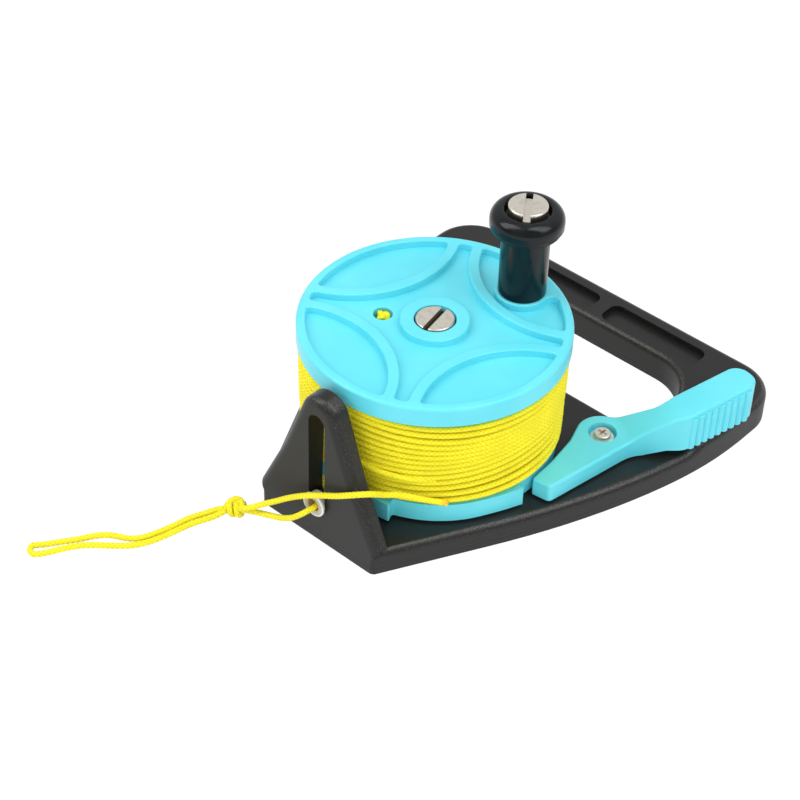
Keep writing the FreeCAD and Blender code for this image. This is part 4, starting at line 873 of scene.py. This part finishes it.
# %% Put the finishes on
FINISHES = {
    "frame": black_plastic, "line_eyelet": eyelet_plastic, "axle_insert": brass,
    "axle_bush": acetal, "axle_washer": acetal, "axle_screw": axle_nickel,
    "friction_washer": acetal, "lever_washer": acetal, "lever_screw": lever_nickel,
    "lever_spring": spring_steel, "spool_upper_flange": turquoise, "spool_lower_flange": turquoise,
    "spool_screws": screw_nickel, "knob_sleeve": acetal, "knob_washer": knob_black,
    "knob_screw": knob_nickel, "knob_nut": screw_nickel, "knob_grip": knob_black,
    "thumb_lever": turquoise,
}
for node, material in FINISHES.items():
    for material_slot in nodes[node].material_slots:
        material_slot.material = material
LINE_PIECES = [leader, tag, loop, lead, knot_turns, knot_crossing, knot_core, winding_under,
               winding_over, stray_strand, anchor_knot]
for piece in LINE_PIECES:
    piece.data.materials.append(line_yellow)
melted_end.data.materials.append(amber)
inner_windings.data.materials.append(shaded_inner_line)
print("finishes on", len(FINISHES), "nodes and", len(LINE_PIECES) + 2, "pieces")

# %% [markdown]
# The reel lies on a white table between two tall soft boxes, one on either side of
# the camera, whose reflections show in the knob's rim. The room is brighter behind
# the reel than over the camera, and a wide screen low in front fills the upright
# sides. The table is white to the camera and in reflections, and keeps a faint
# shadow under the plate.

# %% Table and light
TABLE_GLOW = 1.08
TABLE_SHARE = 0.88
BEHIND = (-0.64, 0.768, 0)
ROOM_FRONT = 0.45
ROOM_BEHIND = 0.85
BOX_POWER = 5.0
SCREEN_POWER = 4.0


def white_table():
    bpy.ops.object.select_all(action="DESELECT")
    bpy.ops.mesh.primitive_plane_add(size=6, location=(0, 0, 0))
    table = bpy.context.object
    table.name = "table"
    bpy.ops.object.transform_apply(location=True, rotation=True, scale=True)
    finish = Finish("table_white", Base_Color=(0.86, 0.86, 0.86), Roughness=0.8)
    glow = finish.node("ShaderNodeEmission", {}, {"Color": (1, 1, 1, 1), "Strength": TABLE_GLOW})
    seen = finish.node("ShaderNodeLightPath", {}, {}, "Is Camera Ray")
    shiny = finish.node("ShaderNodeLightPath", {}, {}, "Is Glossy Ray")
    body = Tone(finish, finish.shader.outputs[0])
    mixed = finish.node("ShaderNodeMixShader", {}, {
        0: (seen + shiny) * TABLE_SHARE, 1: body, 2: glow})
    finish.put(finish.tree.nodes["Material Output"].inputs["Surface"], mixed)
    table.data.materials.append(finish.material)
    return table


table = white_table()


class Room(Finish):
    """The world's own tree, whose light depends on the direction."""

    def __init__(self):
        self.material = bpy.data.worlds.new("studio")
        self.material.use_nodes = True
        self.tree = self.material.node_tree

    def light(self, front, behind):
        way = self.node("ShaderNodeTexCoord", {}, {}, "Generated")
        across = self.node(
            "ShaderNodeVectorMath", {"operation": "DOT_PRODUCT"}, {0: way, 1: BEHIND}, "Value")
        strength = front + (behind - front) * across.between(-0.5, 0.6)
        lit = self.node("ShaderNodeBackground", {}, {"Strength": strength})
        white = self.node("ShaderNodeBackground", {}, {"Color": (1, 1, 1, 1)})
        seen = self.node("ShaderNodeLightPath", {}, {}, "Is Camera Ray")
        mixed = self.node("ShaderNodeMixShader", {}, {0: seen, 1: lit, 2: white})
        self.put(self.tree.nodes["World Output"].inputs["Surface"], mixed)


room = Room()
room.light(ROOM_FRONT, ROOM_BEHIND)
bpy.context.scene.world = room.material


def soft_box(name, place, width, height, power):
    """A lamp with a soft, even face that looks at the reel."""
    lamp = bpy.data.lights.new(name, "AREA")
    lamp.shape = "RECTANGLE"
    lamp.size = width
    lamp.size_y = height
    lamp.energy = power
    holder = bpy.data.objects.new(name, lamp)
    holder.location = place
    holder.rotation_euler = (-Vector(place)).to_track_quat("-Z", "Y").to_euler()
    bpy.context.scene.collection.objects.link(holder)
    return holder


soft_box("box_left", (-0.437, -0.485, 0.886), 0.5, 1.0, BOX_POWER)
soft_box("box_right", (0.539, 0.18, 0.942), 0.5, 1.0, BOX_POWER)
screen = soft_box("front_screen", (0.5, -0.75, 0.45), 1.2, 0.6, SCREEN_POWER)
screen.visible_glossy = False
print("lamps: box_left, box_right, front_screen")

# %% Colour
scene = bpy.context.scene
scene.view_settings.view_transform = "Standard"
